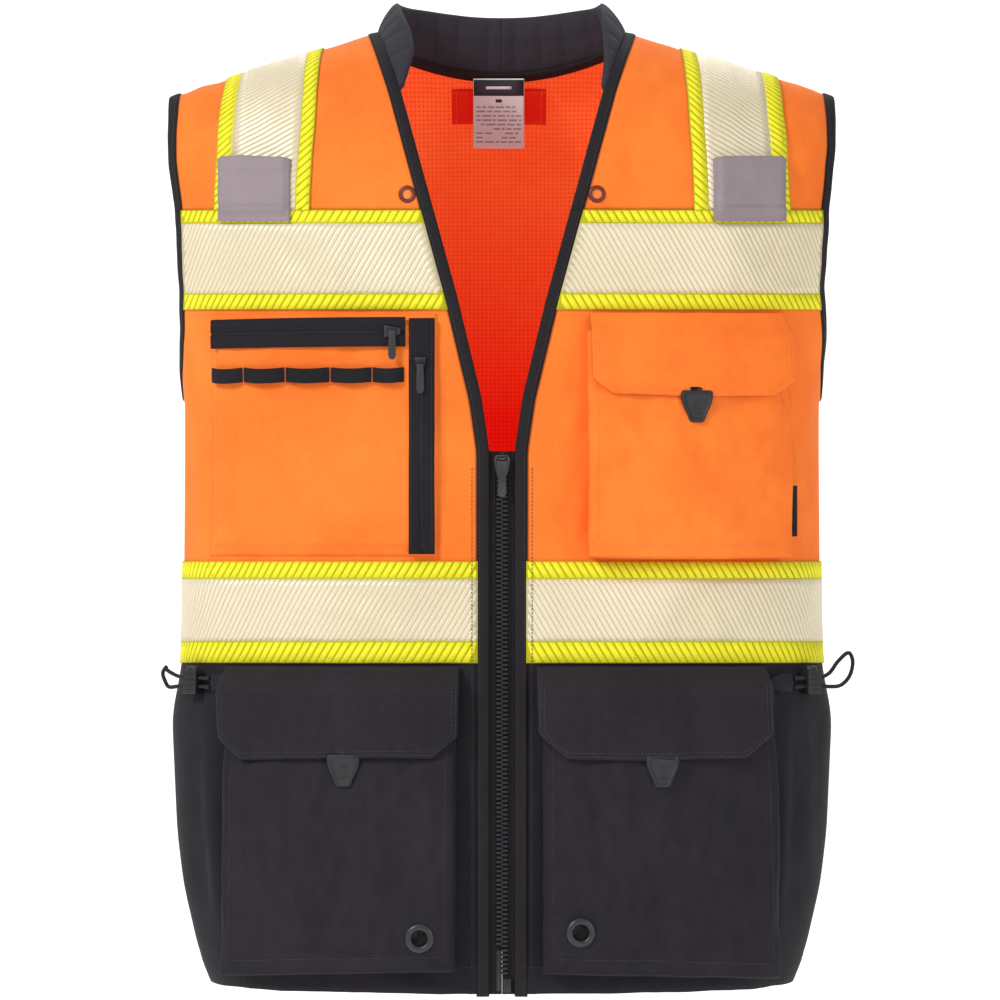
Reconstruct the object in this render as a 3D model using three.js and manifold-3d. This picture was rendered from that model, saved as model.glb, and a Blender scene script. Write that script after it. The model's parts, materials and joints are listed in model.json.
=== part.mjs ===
// Blaze orange field vest: a zip-front, sleeveless work vest shown in its worn shape.
//
// Frame: millimetres, +Z up, +X to the wearer's left, the front faces -Y.
// The origin is the point on the shoulder line midway between the shoulders, where the
// wearer's shoulders carry the vest. "right_" and "left_" are the wearer's sides.
//
// Every cloth piece is a thin closed shell laid on one shared body surface. The surface is
// a superellipse in plan, rounded over the shoulders; xi runs from 0 at the centre line to
// 1 at the side seam, and z0 is the height of a level line at the centre front.
import * as THREE from 'three';
import { mergeVertices } from 'three/addons/utils/BufferGeometryUtils.js';
import Module from 'manifold-3d';

const wasm = await Module();
wasm.setup();

// ---------------------------------------------------------------- driving dimensions
const HALF_DEPTH = 125;          // body surface, centre front or back to the side seam plane
const SQUARENESS = 2.4;          // superellipse exponent of the plan section
const SHOULDER_RADIUS = 122;     // how far the shoulders take to round over
const SEAM_GAP = 0.8;            // half the gap left at the shoulder and side seams
const NECK_HALF_WIDTH = 103;     // neck point to centre, at the shoulder line
const NECK_BACK = 70;            // back of the neck behind the shoulder line
const SHOULDER_TIP = 257;        // shoulder tip to centre
const SHOULDER_DROP = 48;        // neck point to shoulder tip
const Z_MID = -362.7;            // height at which level lines stay level round the body
const DRAPE = 0.0467;            // how much level lines spread from Z_MID at the side seams
const CLOTH = 1.2;               // shell thickness of one cloth layer
const LAYER_1 = 2.0;             // bands and patches start this far off the body surface
const Z_SPLIT = -143;            // yoke above, opening front below
const Z_BAND = [-145.2, -220.2]; // chest band, top and bottom
const Z_WAIST = [-408.5, -485];  // waist band, top and bottom
const Z_COLOUR = -447;           // upper and lower cloth meet under the waist band
const Z_HEM = -733;              // hem at the centre front
const HEM_RISE = 12;             // hem is this much shorter at the side seams
const ZIP_EDGE = 17.5;           // cloth edge beside the centre zip
const ZIP_TOP = -331;            // top tooth
const BINDING = 8;               // edge binding width
const STRAP_X = [142, 216];      // shoulder strap, inner and outer edge, at chest height
const BAG_DEPTH = 18;            // bellows pockets, depth
const CORD_D = 3;                // waist adjuster cord
const ARMHOLE_BOTTOM = -285;

// half width of the body surface by z0
const HALF_WIDTH = [[40, 274], [-100, 272], [-143, 268], [-205, 258], [-285, 247], [-330, 247],
  [-400, 247.5], [-447, 248], [-485, 249], [-524, 257], [-610, 253],
  [-650, 248], [-700, 236], [-733, 222]];
// armhole edge of the cloth, as xi by z0
const ARMHOLE = [[40, 0.9265], [-50, 0.9265], [-143, 0.918], [-205, 0.945], [-240, 0.972],
  [-265, 0.989], [-279, 0.998], [-285, 1]];
// V-neck edge of the cloth, x by z
const VNECK = [[40, 103], [0, 103], [-10, 99.5], [-20, 96], [-56, 84], [-138, 61.5], [-213, 41],
  [-288, 23], [-326, ZIP_EDGE], [-900, ZIP_EDGE]];

// ---------------------------------------------------------------- helpers
const table = (rows, v) => {
  if (v >= rows[0][0]) return rows[0][1];
  for (let i = 1; i < rows.length; i++) {
    if (v >= rows[i][0]) {
      const [v0, a0] = rows[i - 1], [v1, a1] = rows[i];
      return a0 + (a1 - a0) * (v - v0) / (v1 - v0);
    }
  }
  return rows[rows.length - 1][1];
};
const lerp = (a, b, t) => a + (b - a) * t;
const clamp = (v, a, b) => Math.min(b, Math.max(a, v));
const V = (x, y, z) => new THREE.Vector3(x, y, z);
const halfWidth = (z0) => table(HALF_WIDTH, z0);
const plan = (xi) => Math.pow(Math.max(0, 1 - Math.pow(Math.min(1, Math.abs(xi)), SQUARENESS)), 1 / SQUARENESS);
const shoulderZ = (x) => -SHOULDER_DROP * clamp((Math.abs(x) - NECK_HALF_WIDTH) / (SHOULDER_TIP - NECK_HALF_WIDTH), 0, 1.15);
const zOf = (xi, z0) => Z_MID + (z0 - Z_MID) * (1 + DRAPE * (1 - plan(xi)));
const z0Of = (xi, z) => Z_MID + (z - Z_MID) / (1 + DRAPE * (1 - plan(xi)));

// a point of the body surface; side is -1 in front and +1 behind
function at(side, xi, z0) {
  const x = xi * halfWidth(z0), z = zOf(xi, z0);
  const s = clamp((shoulderZ(x) - z) / SHOULDER_RADIUS, 0, 1);
  const g = Math.sqrt(Math.max(0, 1 - (1 - s) * (1 - s)));
  return V(x, side * (SEAM_GAP + (HALF_DEPTH - SEAM_GAP) * plan(xi) * g), z);
}
// length along a meridian from the shoulder line to z, and back
const lenOf = (x, z) => {
  const drop = shoulderZ(x) - z;
  return drop < SHOULDER_RADIUS
    ? SHOULDER_RADIUS * Math.acos(clamp(1 - drop / SHOULDER_RADIUS, -1, 1))
    : SHOULDER_RADIUS * Math.PI / 2 + drop - SHOULDER_RADIUS;
};
const zAtLen = (x, len) => (len < SHOULDER_RADIUS * Math.PI / 2
  ? shoulderZ(x) - SHOULDER_RADIUS * (1 - Math.cos(len / SHOULDER_RADIUS))
  : shoulderZ(x) - SHOULDER_RADIUS - (len - SHOULDER_RADIUS * Math.PI / 2));

// a point over the shoulder: x from a rule, len as a fraction between the top edge and z0End
function overShoulder(side, r, z0End, xRule, topLen) {
  let x = xRule(-60, -60), z0 = -60, z = -60;
  for (let k = 0; k < 14; k++) {
    const xi = clamp(x / halfWidth(z0), -1, 1);
    const top = topLen(x), end = lenOf(x, zOf(xi, z0End));
    z = zAtLen(x, lerp(top, end, r));
    z0 = z0Of(xi, z);
    x = xRule(z, z0);
  }
  return at(side, x / halfWidth(z0), z0);
}

// equal arc steps round the plan section, shared by every piece
const COLUMNS = (() => {
  const n = 16, fine = [];
  let len = 0, px = 0, py = HALF_DEPTH;
  for (let i = 0; i <= 4000; i++) {
    const ang = (i / 4000) * Math.PI / 2;
    const x = 250 * Math.pow(Math.sin(ang), 2 / SQUARENESS), y = HALF_DEPTH * Math.pow(Math.cos(ang), 2 / SQUARENESS);
    len += Math.hypot(x - px, y - py); px = x; py = y;
    fine.push([len, x / 250]);
  }
  const out = [];
  for (let k = 0; k <= n; k++) {
    const want = len * k / n;
    out.push(fine.find((f) => f[0] >= want - 1e-9)[1]);
  }
  out[n] = 1;
  return out;
})();
// the shared columns between two signed xi values, with both ends
function columnsBetween(a, b) {
  const all = [...COLUMNS.slice(1).map((c) => -c).reverse(), ...COLUMNS];
  return [a, ...all.filter((c) => c > a + 0.018 && c < b - 0.018), b];
}
const rowsBetween = (top, bottom, extra = []) => {
  const knots = [...HALF_WIDTH.map((r) => r[0]), ...extra].sort((p, q) => q - p);
  return [top, ...knots.filter((z, i) => z < top - 3 && z > bottom + 3 && (i === 0 || knots[i - 1] - z > 3)), bottom];
};

// unit normals of a grid of points, away from the body's axis
function gridNormals(grid) {
  const R = grid.length, C = grid[0].length;
  return grid.map((row, i) => row.map((p, j) => {
    const du = grid[i][Math.min(C - 1, j + 1)].clone().sub(grid[i][Math.max(0, j - 1)]);
    const dv = grid[Math.min(R - 1, i + 1)][j].clone().sub(grid[Math.max(0, i - 1)][j]);
    const n = du.cross(dv).normalize();
    const ref = V(p.x * 0.35, p.y, 30);
    if (n.dot(ref) < 0) n.negate();
    return n;
  }));
}

function toGeometry(points, faces) {
  // faces point out when the signed volume is positive
  let vol = 0;
  for (const [a, b, c] of faces) vol += points[a].dot(points[b].clone().cross(points[c]));
  const idx = [];
  for (const [a, b, c] of faces) vol > 0 ? idx.push(a, b, c) : idx.push(a, c, b);
  const g = new THREE.BufferGeometry();
  g.setAttribute('position', new THREE.Float32BufferAttribute(points.flatMap((p) => [p.x, p.y, p.z]), 3));
  g.setIndex(idx);
  return g;
}

// closed shell between two grids of the same size
function between(inner, outer) {
  const R = inner.length, C = inner[0].length, pts = [...inner.flat(), ...outer.flat()], f = [];
  const I = (i, j) => i * C + j, O = (i, j) => R * C + i * C + j;
  for (let i = 0; i < R - 1; i++) {
    for (let j = 0; j < C - 1; j++) {
      f.push([O(i, j), O(i, j + 1), O(i + 1, j + 1)], [O(i, j), O(i + 1, j + 1), O(i + 1, j)]);
      f.push([I(i, j), I(i + 1, j + 1), I(i, j + 1)], [I(i, j), I(i + 1, j), I(i + 1, j + 1)]);
    }
  }
  const rim = (i0, j0, i1, j1) => f.push([I(i0, j0), I(i1, j1), O(i1, j1)], [I(i0, j0), O(i1, j1), O(i0, j0)]);
  for (let j = 0; j < C - 1; j++) { rim(0, j, 0, j + 1); rim(R - 1, j + 1, R - 1, j); }
  for (let i = 0; i < R - 1; i++) { rim(i + 1, 0, i, 0); rim(i, C - 1, i + 1, C - 1); }
  return toGeometry(pts, f);
}
// a shell on a grid of surface points, from offset d0 to d1 (numbers or functions of row, column)
function shell(grid, d0, d1) {
  const n = gridNormals(grid), val = (d, i, j) => (typeof d === 'function' ? d(i, j) : d);
  const off = (d) => grid.map((row, i) => row.map((p, j) => p.clone().addScaledVector(n[i][j], val(d, i, j))));
  return between(off(d0), off(d1));
}
// a patch of the surface between two xi and two z0 levels
function patchGrid(side, xi0, xi1, zTop, zBottom, extra) {
  const cols = columnsBetween(Math.min(xi0, xi1), Math.max(xi0, xi1));
  const level = (z, xi) => (typeof z === 'function' ? z(xi) : z);
  const top = typeof zTop === 'function' ? zTop(0.5) : zTop, bottom = typeof zBottom === 'function' ? zBottom(0.5) : zBottom;
  const rows = rowsBetween(top, bottom, extra);
  return rows.map((z, i) => cols.map((xi) => at(side, xi,
    i === 0 ? level(zTop, xi) : i === rows.length - 1 ? level(zBottom, xi) : z)));
}

// a patch of the surface between two x and two z0 levels, for pockets and their trim
const X_COLUMNS = COLUMNS.map((c) => c * 250);
function pocketGrid(x0, x1, zTop, zBottom) {
  const lo = Math.min(x0, x1), hi = Math.max(x0, x1);
  const all = [...X_COLUMNS.slice(1).map((c) => -c).reverse(), ...X_COLUMNS].filter((c) => c > lo + 4.5 && c < hi - 4.5);
  return rowsBetween(zTop, zBottom).map((z) => [lo, ...all, hi].map((x) => at(-1, x / halfWidth(z), z)));
}

// a ribbon beside an edge: the edge points, the surface normals there, and a point on the far side
function ribbon(edge, normals, away, w0, w1, d0, d1) {
  const lo = [[], []], hi = [[], []];
  edge.forEach((p, i) => {
    const t = edge[Math.min(edge.length - 1, i + 1)].clone().sub(edge[Math.max(0, i - 1)]).normalize();
    const b = t.clone().cross(normals[i]).normalize();
    if (b.dot(p.clone().sub(away(p, i))) < 0) b.negate();
    const n = normals[i];
    lo[0].push(p.clone().addScaledVector(b, w0).addScaledVector(n, d0));
    lo[1].push(p.clone().addScaledVector(b, w1).addScaledVector(n, d0));
    hi[0].push(p.clone().addScaledVector(b, w0).addScaledVector(n, d1));
    hi[1].push(p.clone().addScaledVector(b, w1).addScaledVector(n, d1));
  });
  return between(lo, hi);
}

// keep a piece on its own side of a plane
function keep(geometry, fn) {
  const a = geometry.attributes.position, p = V(0, 0, 0);
  for (let i = 0; i < a.count; i++) { p.fromBufferAttribute(a, i); fn(p); a.setXYZ(i, p.x, p.y, p.z); }
  return geometry;
}

const toSolid = (geometry) => {
  let g = geometry.clone();
  for (const k of Object.keys(g.attributes)) if (k !== 'position') g.deleteAttribute(k);
  g = mergeVertices(g, 1e-4);
  return new wasm.Manifold(new wasm.Mesh({
    numProp: 3,
    vertProperties: new Float32Array(g.attributes.position.array),
    triVerts: new Uint32Array(g.index.array),
  }));
};
const fromSolid = (solid) => {
  const m = solid.getMesh(), g = new THREE.BufferGeometry();
  const v = new Float32Array(m.numVert * 3);
  for (let i = 0; i < m.numVert; i++) for (let k = 0; k < 3; k++) v[i * 3 + k] = m.vertProperties[i * m.numProp + k];
  g.setAttribute('position', new THREE.BufferAttribute(v, 3));
  g.setIndex(new THREE.BufferAttribute(new Uint32Array(m.triVerts), 1));
  return g;
};

// ---------------------------------------------------------------- materials
const mat = (color, roughness, metalness = 0) => new THREE.MeshStandardMaterial({ color, roughness, metalness });
const ORANGE = mat('#ff7a2a', 0.75);
const MESH = mat('#ff5a22', 0.85);
const BLACK = mat('#2a272c', 0.85);
const EDGE = mat('#232026', 0.7);
const TAPE = mat('#e6dcc0', 0.35);
const GREY = mat('#a6989c', 0.8);
const LABEL = mat('#eeeeea', 0.7);
const PLASTIC = mat('#1d1c1f', 0.45);
const METAL = mat('#6e6a66', 0.35, 0.9);
const BRASS = mat('#7a4a3a', 0.4, 0.9);

const group = new THREE.Group();
const nodes = {};
function add(name, geometry, material, place) {
  const mesh = new THREE.Mesh(geometry, material);
  mesh.name = name;
  if (place) place(mesh);
  group.add(mesh);
  nodes[name] = mesh;
  return mesh;
}
// put a mesh's local frame at p, with its local +Z along n and local +X as level as it goes
function facing(p, n) {
  return (mesh) => {
    const z = n.clone().normalize(), up = Math.abs(z.z) > 0.95 ? V(0, 1, 0) : V(0, 0, 1);
    const x = up.clone().cross(z).normalize(), y = z.clone().cross(x);
    mesh.quaternion.setFromRotationMatrix(new THREE.Matrix4().makeBasis(x, y, z));
    mesh.position.copy(p);
  };
}
function normalAt(side, xi, z0) {
  const e = 0.004, du = at(side, clamp(xi + e, -1, 1), z0).sub(at(side, clamp(xi - e, -1, 1), z0));
  const dv = at(side, xi, z0 + 2).sub(at(side, xi, z0 - 2));
  const n = du.cross(dv).normalize();
  return n.dot(V(xi * 90, side * 125, 30)) < 0 ? n.negate() : n;
}
const extrude = (shape, depth) => new THREE.ExtrudeGeometry(shape, { depth, bevelEnabled: false, curveSegments: 6 });
const outline = (pts) => {
  const s = new THREE.Shape();
  pts.forEach(([x, y], i) => (i ? s.lineTo(x, y) : s.moveTo(x, y)));
  s.closePath();
  return s;
};
const ring = (outer, inner, thick, seg) => new THREE.LatheGeometry([
  new THREE.Vector2(inner, 0), new THREE.Vector2(outer, 0), new THREE.Vector2(outer - thick * 0.35, thick),
  new THREE.Vector2(inner + thick * 0.35, thick), new THREE.Vector2(inner, 0)], seg).rotateX(Math.PI / 2);

// ---------------------------------------------------------------- shoulders, yokes and back
const SHOULDER_STEPS = 7;
const ARM_LEVELS = [-172, -205, -228, -247, -262, -273, -280, ARMHOLE_BOTTOM];
const armX = (z0) => table(ARMHOLE, z0) * halfWidth(z0);

function yokeGrid(sx) {
  const cols = 9, grid = [];
  for (let i = 0; i <= SHOULDER_STEPS; i++) {
    const row = [];
    for (let j = 0; j <= cols; j++) {
      const c = j / cols;
      row.push(overShoulder(-1, i / SHOULDER_STEPS, Z_SPLIT, (z, z0) => sx * lerp(table(VNECK, z), armX(z0), c), () => 0));
    }
    grid.push(row);
  }
  return grid;
}
// half of the back panel's columns: the neck point is one of them
const BACK_COLS = [0, 0.14, 0.27, 0.36, 0.409, 0.53, 0.66, 0.78, 0.88, 1];
const neckLen = (x) => {
  if (Math.abs(x) >= NECK_HALF_WIDTH) return 0;
  const y = NECK_BACK * Math.sqrt(1 - (x / NECK_HALF_WIDTH) ** 2);
  return SHOULDER_RADIUS * Math.asin(y / HALF_DEPTH);
};
function backGrid() {
  const cols = [...BACK_COLS.slice(1).map((c) => -c).reverse(), ...BACK_COLS], grid = [];
  for (let i = 0; i <= SHOULDER_STEPS; i++) {
    grid.push(cols.map((c) => overShoulder(1, i / SHOULDER_STEPS, Z_SPLIT, (z, z0) => c * armX(z0), neckLen)));
  }
  for (const z0 of [...ARM_LEVELS, -330, -400, Z_COLOUR]) {
    grid.push(cols.map((c) => at(1, c * table(ARMHOLE, z0), z0)));
  }
  return grid;
}

const back = backGrid(), backNormals = gridNormals(back);
add('back_panel', shell(back, 0, CLOTH), MESH);

const hemLevel = (xi) => Z_HEM + HEM_RISE * (1 - plan(xi));
add('back_lower_panel', shell(patchGrid(1, -1, 1, Z_COLOUR - 1.2, hemLevel), 0, CLOTH), BLACK);
add('back_chest_band', shell(patchGrid(1, -0.9, 0.9, Z_BAND[0], Z_BAND[1]), LAYER_1, LAYER_1 + CLOTH), TAPE);
add('back_waist_band', shell(patchGrid(1, -1, 1, Z_WAIST[0], Z_WAIST[1]), LAYER_1, LAYER_1 + CLOTH), TAPE);

const bodyAxis = (p) => V(0, 0, p.z - 5);
const sideName = (sx) => (sx < 0 ? 'right_' : 'left_');
for (const sx of [-1, 1]) {
  const S = sideName(sx);
  const yoke = yokeGrid(sx), yn = gridNormals(yoke), last = yoke[0].length - 1;

  // neck eyelet and its hole through the yoke
  const exi = sx * 71 / halfWidth(-134), ep = at(-1, exi, -133.5), en = normalAt(-1, exi, -133.5);
  const drill = new THREE.CylinderGeometry(4, 4, 12, 12).rotateX(Math.PI / 2);
  const holder = new THREE.Object3D();
  facing(ep, en)(holder); holder.updateMatrix();
  drill.applyMatrix4(holder.matrix);
  add(S + 'yoke', fromSolid(toSolid(shell(yoke, 0, CLOTH)).subtract(toSolid(drill))), ORANGE);
  add(S + 'neck_eyelet', ring(6.5, 3.6, 1.6, 16), BRASS, facing(ep.clone().addScaledVector(en, CLOTH + 0.5), en));

  // shoulder strap: up the front from the chest band, over the shoulder, down the back
  const strap = [];
  const strapX = (c) => (z) => sx * (lerp(STRAP_X[0], STRAP_X[1], c) + 6 * clamp((Z_SPLIT - z) / Z_SPLIT, 0, 1) * -1);
  const scols = 5;
  for (let i = SHOULDER_STEPS; i >= 0; i--) {
    strap.push([...Array(scols + 1).keys()].map((j) => {
      const p = overShoulder(-1, i / SHOULDER_STEPS, Z_SPLIT - 0.6, strapX(j / scols), () => 0);
      if (i === 0) p.y = 0;
      return p;
    }));
  }
  for (let i = 1; i <= SHOULDER_STEPS; i++) {
    strap.push([...Array(scols + 1).keys()].map((j) => overShoulder(1, i / SHOULDER_STEPS, Z_SPLIT, strapX(j / scols), () => 0)));
  }
  add(S + 'shoulder_strap', shell(strap, LAYER_1, LAYER_1 + CLOTH), TAPE);

  // microphone tab: a flat tab on two sewn edges, open from above and below
  {
    const c = at(-1, sx * 180 / halfWidth(-125), -124), n = normalAt(-1, sx * 180 / halfWidth(-125), -124);
    n.z = 0; n.normalize();
    const w = 27.5, gap = 4.6, t = 1.6, wall = 2;
    const g = extrude(outline([[-w, 0], [-w + wall, 0], [-w + wall, gap], [w - wall, gap], [w - wall, 0], [w, 0], [w, gap + t], [-w, gap + t]]), 40);
    g.translate(0, 0, -20);
    add(S + 'mic_tab', g, GREY, (mesh) => {
      const xAxis = V(0, 0, 1).cross(n).normalize().negate();
      const m = new THREE.Matrix4().makeBasis(xAxis, n.clone(), xAxis.clone().cross(n));
      mesh.quaternion.setFromRotationMatrix(m);
      mesh.position.copy(c.clone().addScaledVector(n, LAYER_1 + CLOTH + 4.4).setZ(-120.2));
    });
  }

  // neck binding on the yoke, from the collar's end down to the split
  const vEdge = yoke.map((r) => r[0]), vNorm = yn.map((r) => r[0]);
  const k = vEdge.findIndex((p) => p.z < -60);
  const startV = vEdge[k - 1].clone().lerp(vEdge[k], (vEdge[k - 1].z + 60) / (vEdge[k - 1].z - vEdge[k].z));
  add(S + 'neck_binding_upper', ribbon([startV, ...vEdge.slice(k)], [vNorm[k], ...vNorm.slice(k)],
    (p) => V(p.x + sx * 40, p.y, p.z), 0.7, BINDING, -0.7, CLOTH + 0.7), EDGE);

  // armhole binding: front yoke, over the shoulder and down the back to the side seam
  const af = yoke.map((r) => r[last]).reverse(), afn = yn.map((r) => r[last]).reverse();
  const bj = sx > 0 ? back[0].length - 1 : 0;
  const ab = back.slice(0, SHOULDER_STEPS + 1 + ARM_LEVELS.length).map((r) => r[bj]);
  const abn = backNormals.slice(0, SHOULDER_STEPS + 1 + ARM_LEVELS.length).map((r) => r[bj]);
  const top = af[af.length - 1].clone(); top.y = 0;
  const edge = [...af.slice(0, -1), top, ...ab.slice(1)], edgeN = [...afn.slice(0, -1), V(0.3 * sx, 0, 1).normalize(), ...abn.slice(1)];
  const seamZ = zOf(0.918, Z_SPLIT);
  add(S + 'armhole_binding', keep(ribbon(edge, edgeN, (p) => V(0, p.y * 2.2, p.z < -240 ? p.z - 400 : p.z - 20), 0.7, BINDING, -0.7, CLOTH + 0.7),
    (p) => { if (p.z < -220) p.y = Math.max(p.y, 0.5); if (p.y < 0) p.z = Math.max(p.z, seamZ + 0.5); }), EDGE);
}

// ---------------------------------------------------------------- collar and label
{
  // lower and upper edge from the centre back to the front end, for the wearer's left
  const lower = [[0, 70, -21], [26, 67.8, -19.6], [50, 61.2, -15.5], [73, 49.6, -10], [90, 34, -4.8], [100.5, 15.5, -1],
    [103, -3, 0], [102, -25, -3], [99, -49, -10.5], [96, -68, -20], [91, -86.5, -36], [84.6, -102.5, -55]];
  const upper = [[0, 60, 28], [22, 58.4, 28], [42, 53, 27.4], [60, 44, 26.6], [73, 31.5, 25.8], [80, 16, 25],
    [82.3, -2, 24], [82.5, -22, 20.5], [81.5, -44, 12], [80, -65, -1], [77.5, -86, -22], [75.3, -103, -53]];
  const both = (rows) => [...rows.slice(1).map(([x, y, z]) => V(-x, y, z)).reverse(), ...rows.map(([x, y, z]) => V(x, y, z))];
  const L = both(lower), U = both(upper), E = 5, sections = [];
  L.forEach((l, i) => {
    const u = U[i], up = u.clone().sub(l), len = up.length();
    const t = L[Math.min(L.length - 1, i + 1)].clone().sub(L[Math.max(0, i - 1)]);
    const n = t.cross(up).normalize();
    const out = V(l.x, l.y, 0);
    if (n.dot(out) < 0) n.negate();
    const lo = l.clone().addScaledVector(up, 1.8 / len);
    const sec = [];
    for (let e = 0; e <= E; e++) {
      const f = e / E, half = 1.5 + 1.5 * Math.sin(Math.PI * f);
      sec.push([lo.clone().lerp(u, f), n, half]);
    }
    sections.push(sec);
  });
  const inner = sections.map((s) => s.map(([p, n, h]) => p.clone().addScaledVector(n, -h)));
  const outer = sections.map((s) => s.map(([p, n, h]) => p.clone().addScaledVector(n, h)));
  add('collar', between(inner, outer), BLACK);

  add('neck_label', new THREE.BoxGeometry(41, 0.9, 56), LABEL, (m) => m.position.set(-2.5, 66.5, -52));
}

// ---------------------------------------------------------------- opening fronts
const ZIP_Y = -(HALF_DEPTH);
for (const sx of [-1, 1]) {
  const S = sideName(sx);
  // upper cloth, from the split to under the waist band
  const cols = 12, upperLevels = [Z_SPLIT - 1, ...ARM_LEVELS.slice(1), -312, -326, -355, -400, Z_COLOUR];
  const grid = upperLevels.map((z0) => [...Array(cols + 1).keys()].map((j) => {
    // columns close up towards the side seam, where the section turns
    const c = 1 - Math.pow(1 - j / cols, 1.25);
    let x = armX(z0);
    const xin = table(VNECK, z0);
    x = lerp(xin, armX(z0), c);
    return at(-1, sx * x / halfWidth(z0), z0);
  }));
  const gn = gridNormals(grid);
  add(S + 'front_panel', shell(grid, 0, CLOTH), ORANGE);
  const xin = sx * (ZIP_EDGE / 249);
  const lowerTop = Z_COLOUR - 1.2;
  add(S + 'front_lower_panel', shell(patchGrid(-1, xin, sx, lowerTop, hemLevel), 0, CLOTH), BLACK);

  // chest and waist bands
  const bandIn = (z0) => (table(VNECK, z0) + 1.5) / halfWidth(z0);
  const bandGrid = [Z_BAND[0], -182, -205, Z_BAND[1]].map((z0) => {
    const a = bandIn(z0), b = 0.905;
    const cs = columnsBetween(0.26, 0.9).slice(1, -1);
    return [a, lerp(a, cs[0], 0.5), ...cs, b].map((xi) => at(-1, sx * xi, z0));
  });
  add(S + 'chest_band', shell(bandGrid, LAYER_1, LAYER_1 + CLOTH), TAPE);
  add(S + 'waist_band', shell(patchGrid(-1, xin, sx, Z_WAIST[0], Z_WAIST[1]), LAYER_1, LAYER_1 + CLOTH), TAPE);

  // neck and armhole bindings on the opening front
  const nv = upperLevels.findIndex((z) => z <= -326) + 1;
  add(S + 'neck_binding_lower', ribbon(grid.slice(0, nv).map((r) => r[0]), gn.slice(0, nv).map((r) => r[0]),
    (p) => V(p.x + sx * 40, p.y, p.z), 0.7, BINDING, -0.7, CLOTH + 0.7), EDGE);
  const na = ARM_LEVELS.length + 1;
  const seamZ = zOf(0.918, Z_SPLIT);
  add(S + 'armhole_binding_front', keep(ribbon(grid.slice(0, na).map((r) => r[cols]), gn.slice(0, na).map((r) => r[cols]),
    (p) => V(0, p.y * 2.2, p.z < -240 ? p.z - 400 : p.z), 0.7, BINDING, -0.7, CLOTH + 0.7),
  (p) => { p.y = Math.min(p.y, -0.5); p.z = Math.min(p.z, seamZ - 0.5); }), EDGE);

  // centre zip: tape behind the cloth edge, teeth at the centre line
  const box = (x0, x1, y0, y1, z0, z1) => new THREE.BoxGeometry(Math.abs(x1 - x0), Math.abs(y1 - y0), Math.abs(z1 - z0))
    .translate((x0 + x1) / 2, (y0 + y1) / 2, (z0 + z1) / 2);
  add(S + 'zip_tape', box(sx * 4.6, sx * 26, ZIP_Y + 0.9, ZIP_Y + 2.1, -329, -731), BLACK);
  const teethEnd = sx < 0 ? -700 : -721;
  add(S + 'zip_teeth', box(sx * 0.8, sx * 4.2, ZIP_Y - 0.6, ZIP_Y + 3.4, ZIP_TOP, teethEnd), PLASTIC);
  if (sx < 0) add('zip_insertion_pin', box(-4.2, -0.8, ZIP_Y, ZIP_Y + 3, teethEnd - 0.5, -731), PLASTIC);
  else add('zip_retainer_box', box(0.8, 6.8, ZIP_Y - 1.6, ZIP_Y + 0.5, teethEnd - 0.6, -732), PLASTIC);

  // waist adjuster: cord loop and its lock, at the front of the side seam
  {
    const A = V(sx * 223, -79.5, -502), u = V(sx * 0.8, 0.6, 0), sep = 3.2;
    const path = [];
    const put = (s, dz, lift = 0) => path.push(A.clone().addScaledVector(u, s).add(V(0, -lift, dz)));
    const tip = sx > 0 ? 60 : 48, rise = sx > 0 ? 17 : 6;
    put(0, sep); put(9, sep); put(18, sep); put(27, sep);
    put(36, sep + 1.2 + rise * 0.12); put(45, sep + 3.5 + rise * 0.5);
    put(tip - 4, sep + 2 + rise * 0.95); put(tip, sep - 2 + rise * 0.85); put(tip - 2.5, -3.2 + rise * 0.45);
    put(lerp(36, tip, 0.5), -5 + rise * 0.1); put(34, -sep - 0.8); put(27, -sep); put(18, -sep); put(9, -sep); put(0, -sep);
    const curve = new THREE.CatmullRomCurve3(path, false, 'centripetal');
    const section = outline([...Array(8).keys()].map((i) => [CORD_D / 2 * Math.cos(i * Math.PI / 4), CORD_D / 2 * Math.sin(i * Math.PI / 4)]));
    add(S + 'adjuster_cord', new THREE.ExtrudeGeometry(section, { steps: 26, extrudePath: curve, bevelEnabled: false }), EDGE);

    const lock = new THREE.BoxGeometry(13, 9, 18);
    const bore = new THREE.CylinderGeometry(2.1, 2.1, 30, 8).rotateZ(Math.PI / 2);
    const s = toSolid(lock).subtract(toSolid(bore.clone().translate(0, 0, sep))).subtract(toSolid(bore.clone().translate(0, 0, -sep)));
    add(S + 'cord_lock', fromSolid(s), PLASTIC, (m) => {
      m.quaternion.setFromRotationMatrix(new THREE.Matrix4().makeBasis(u.clone(), V(0, 0, 1).cross(u), V(0, 0, 1)));
      m.position.copy(A.clone().addScaledVector(u, 17));
    });
  }
}

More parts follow.
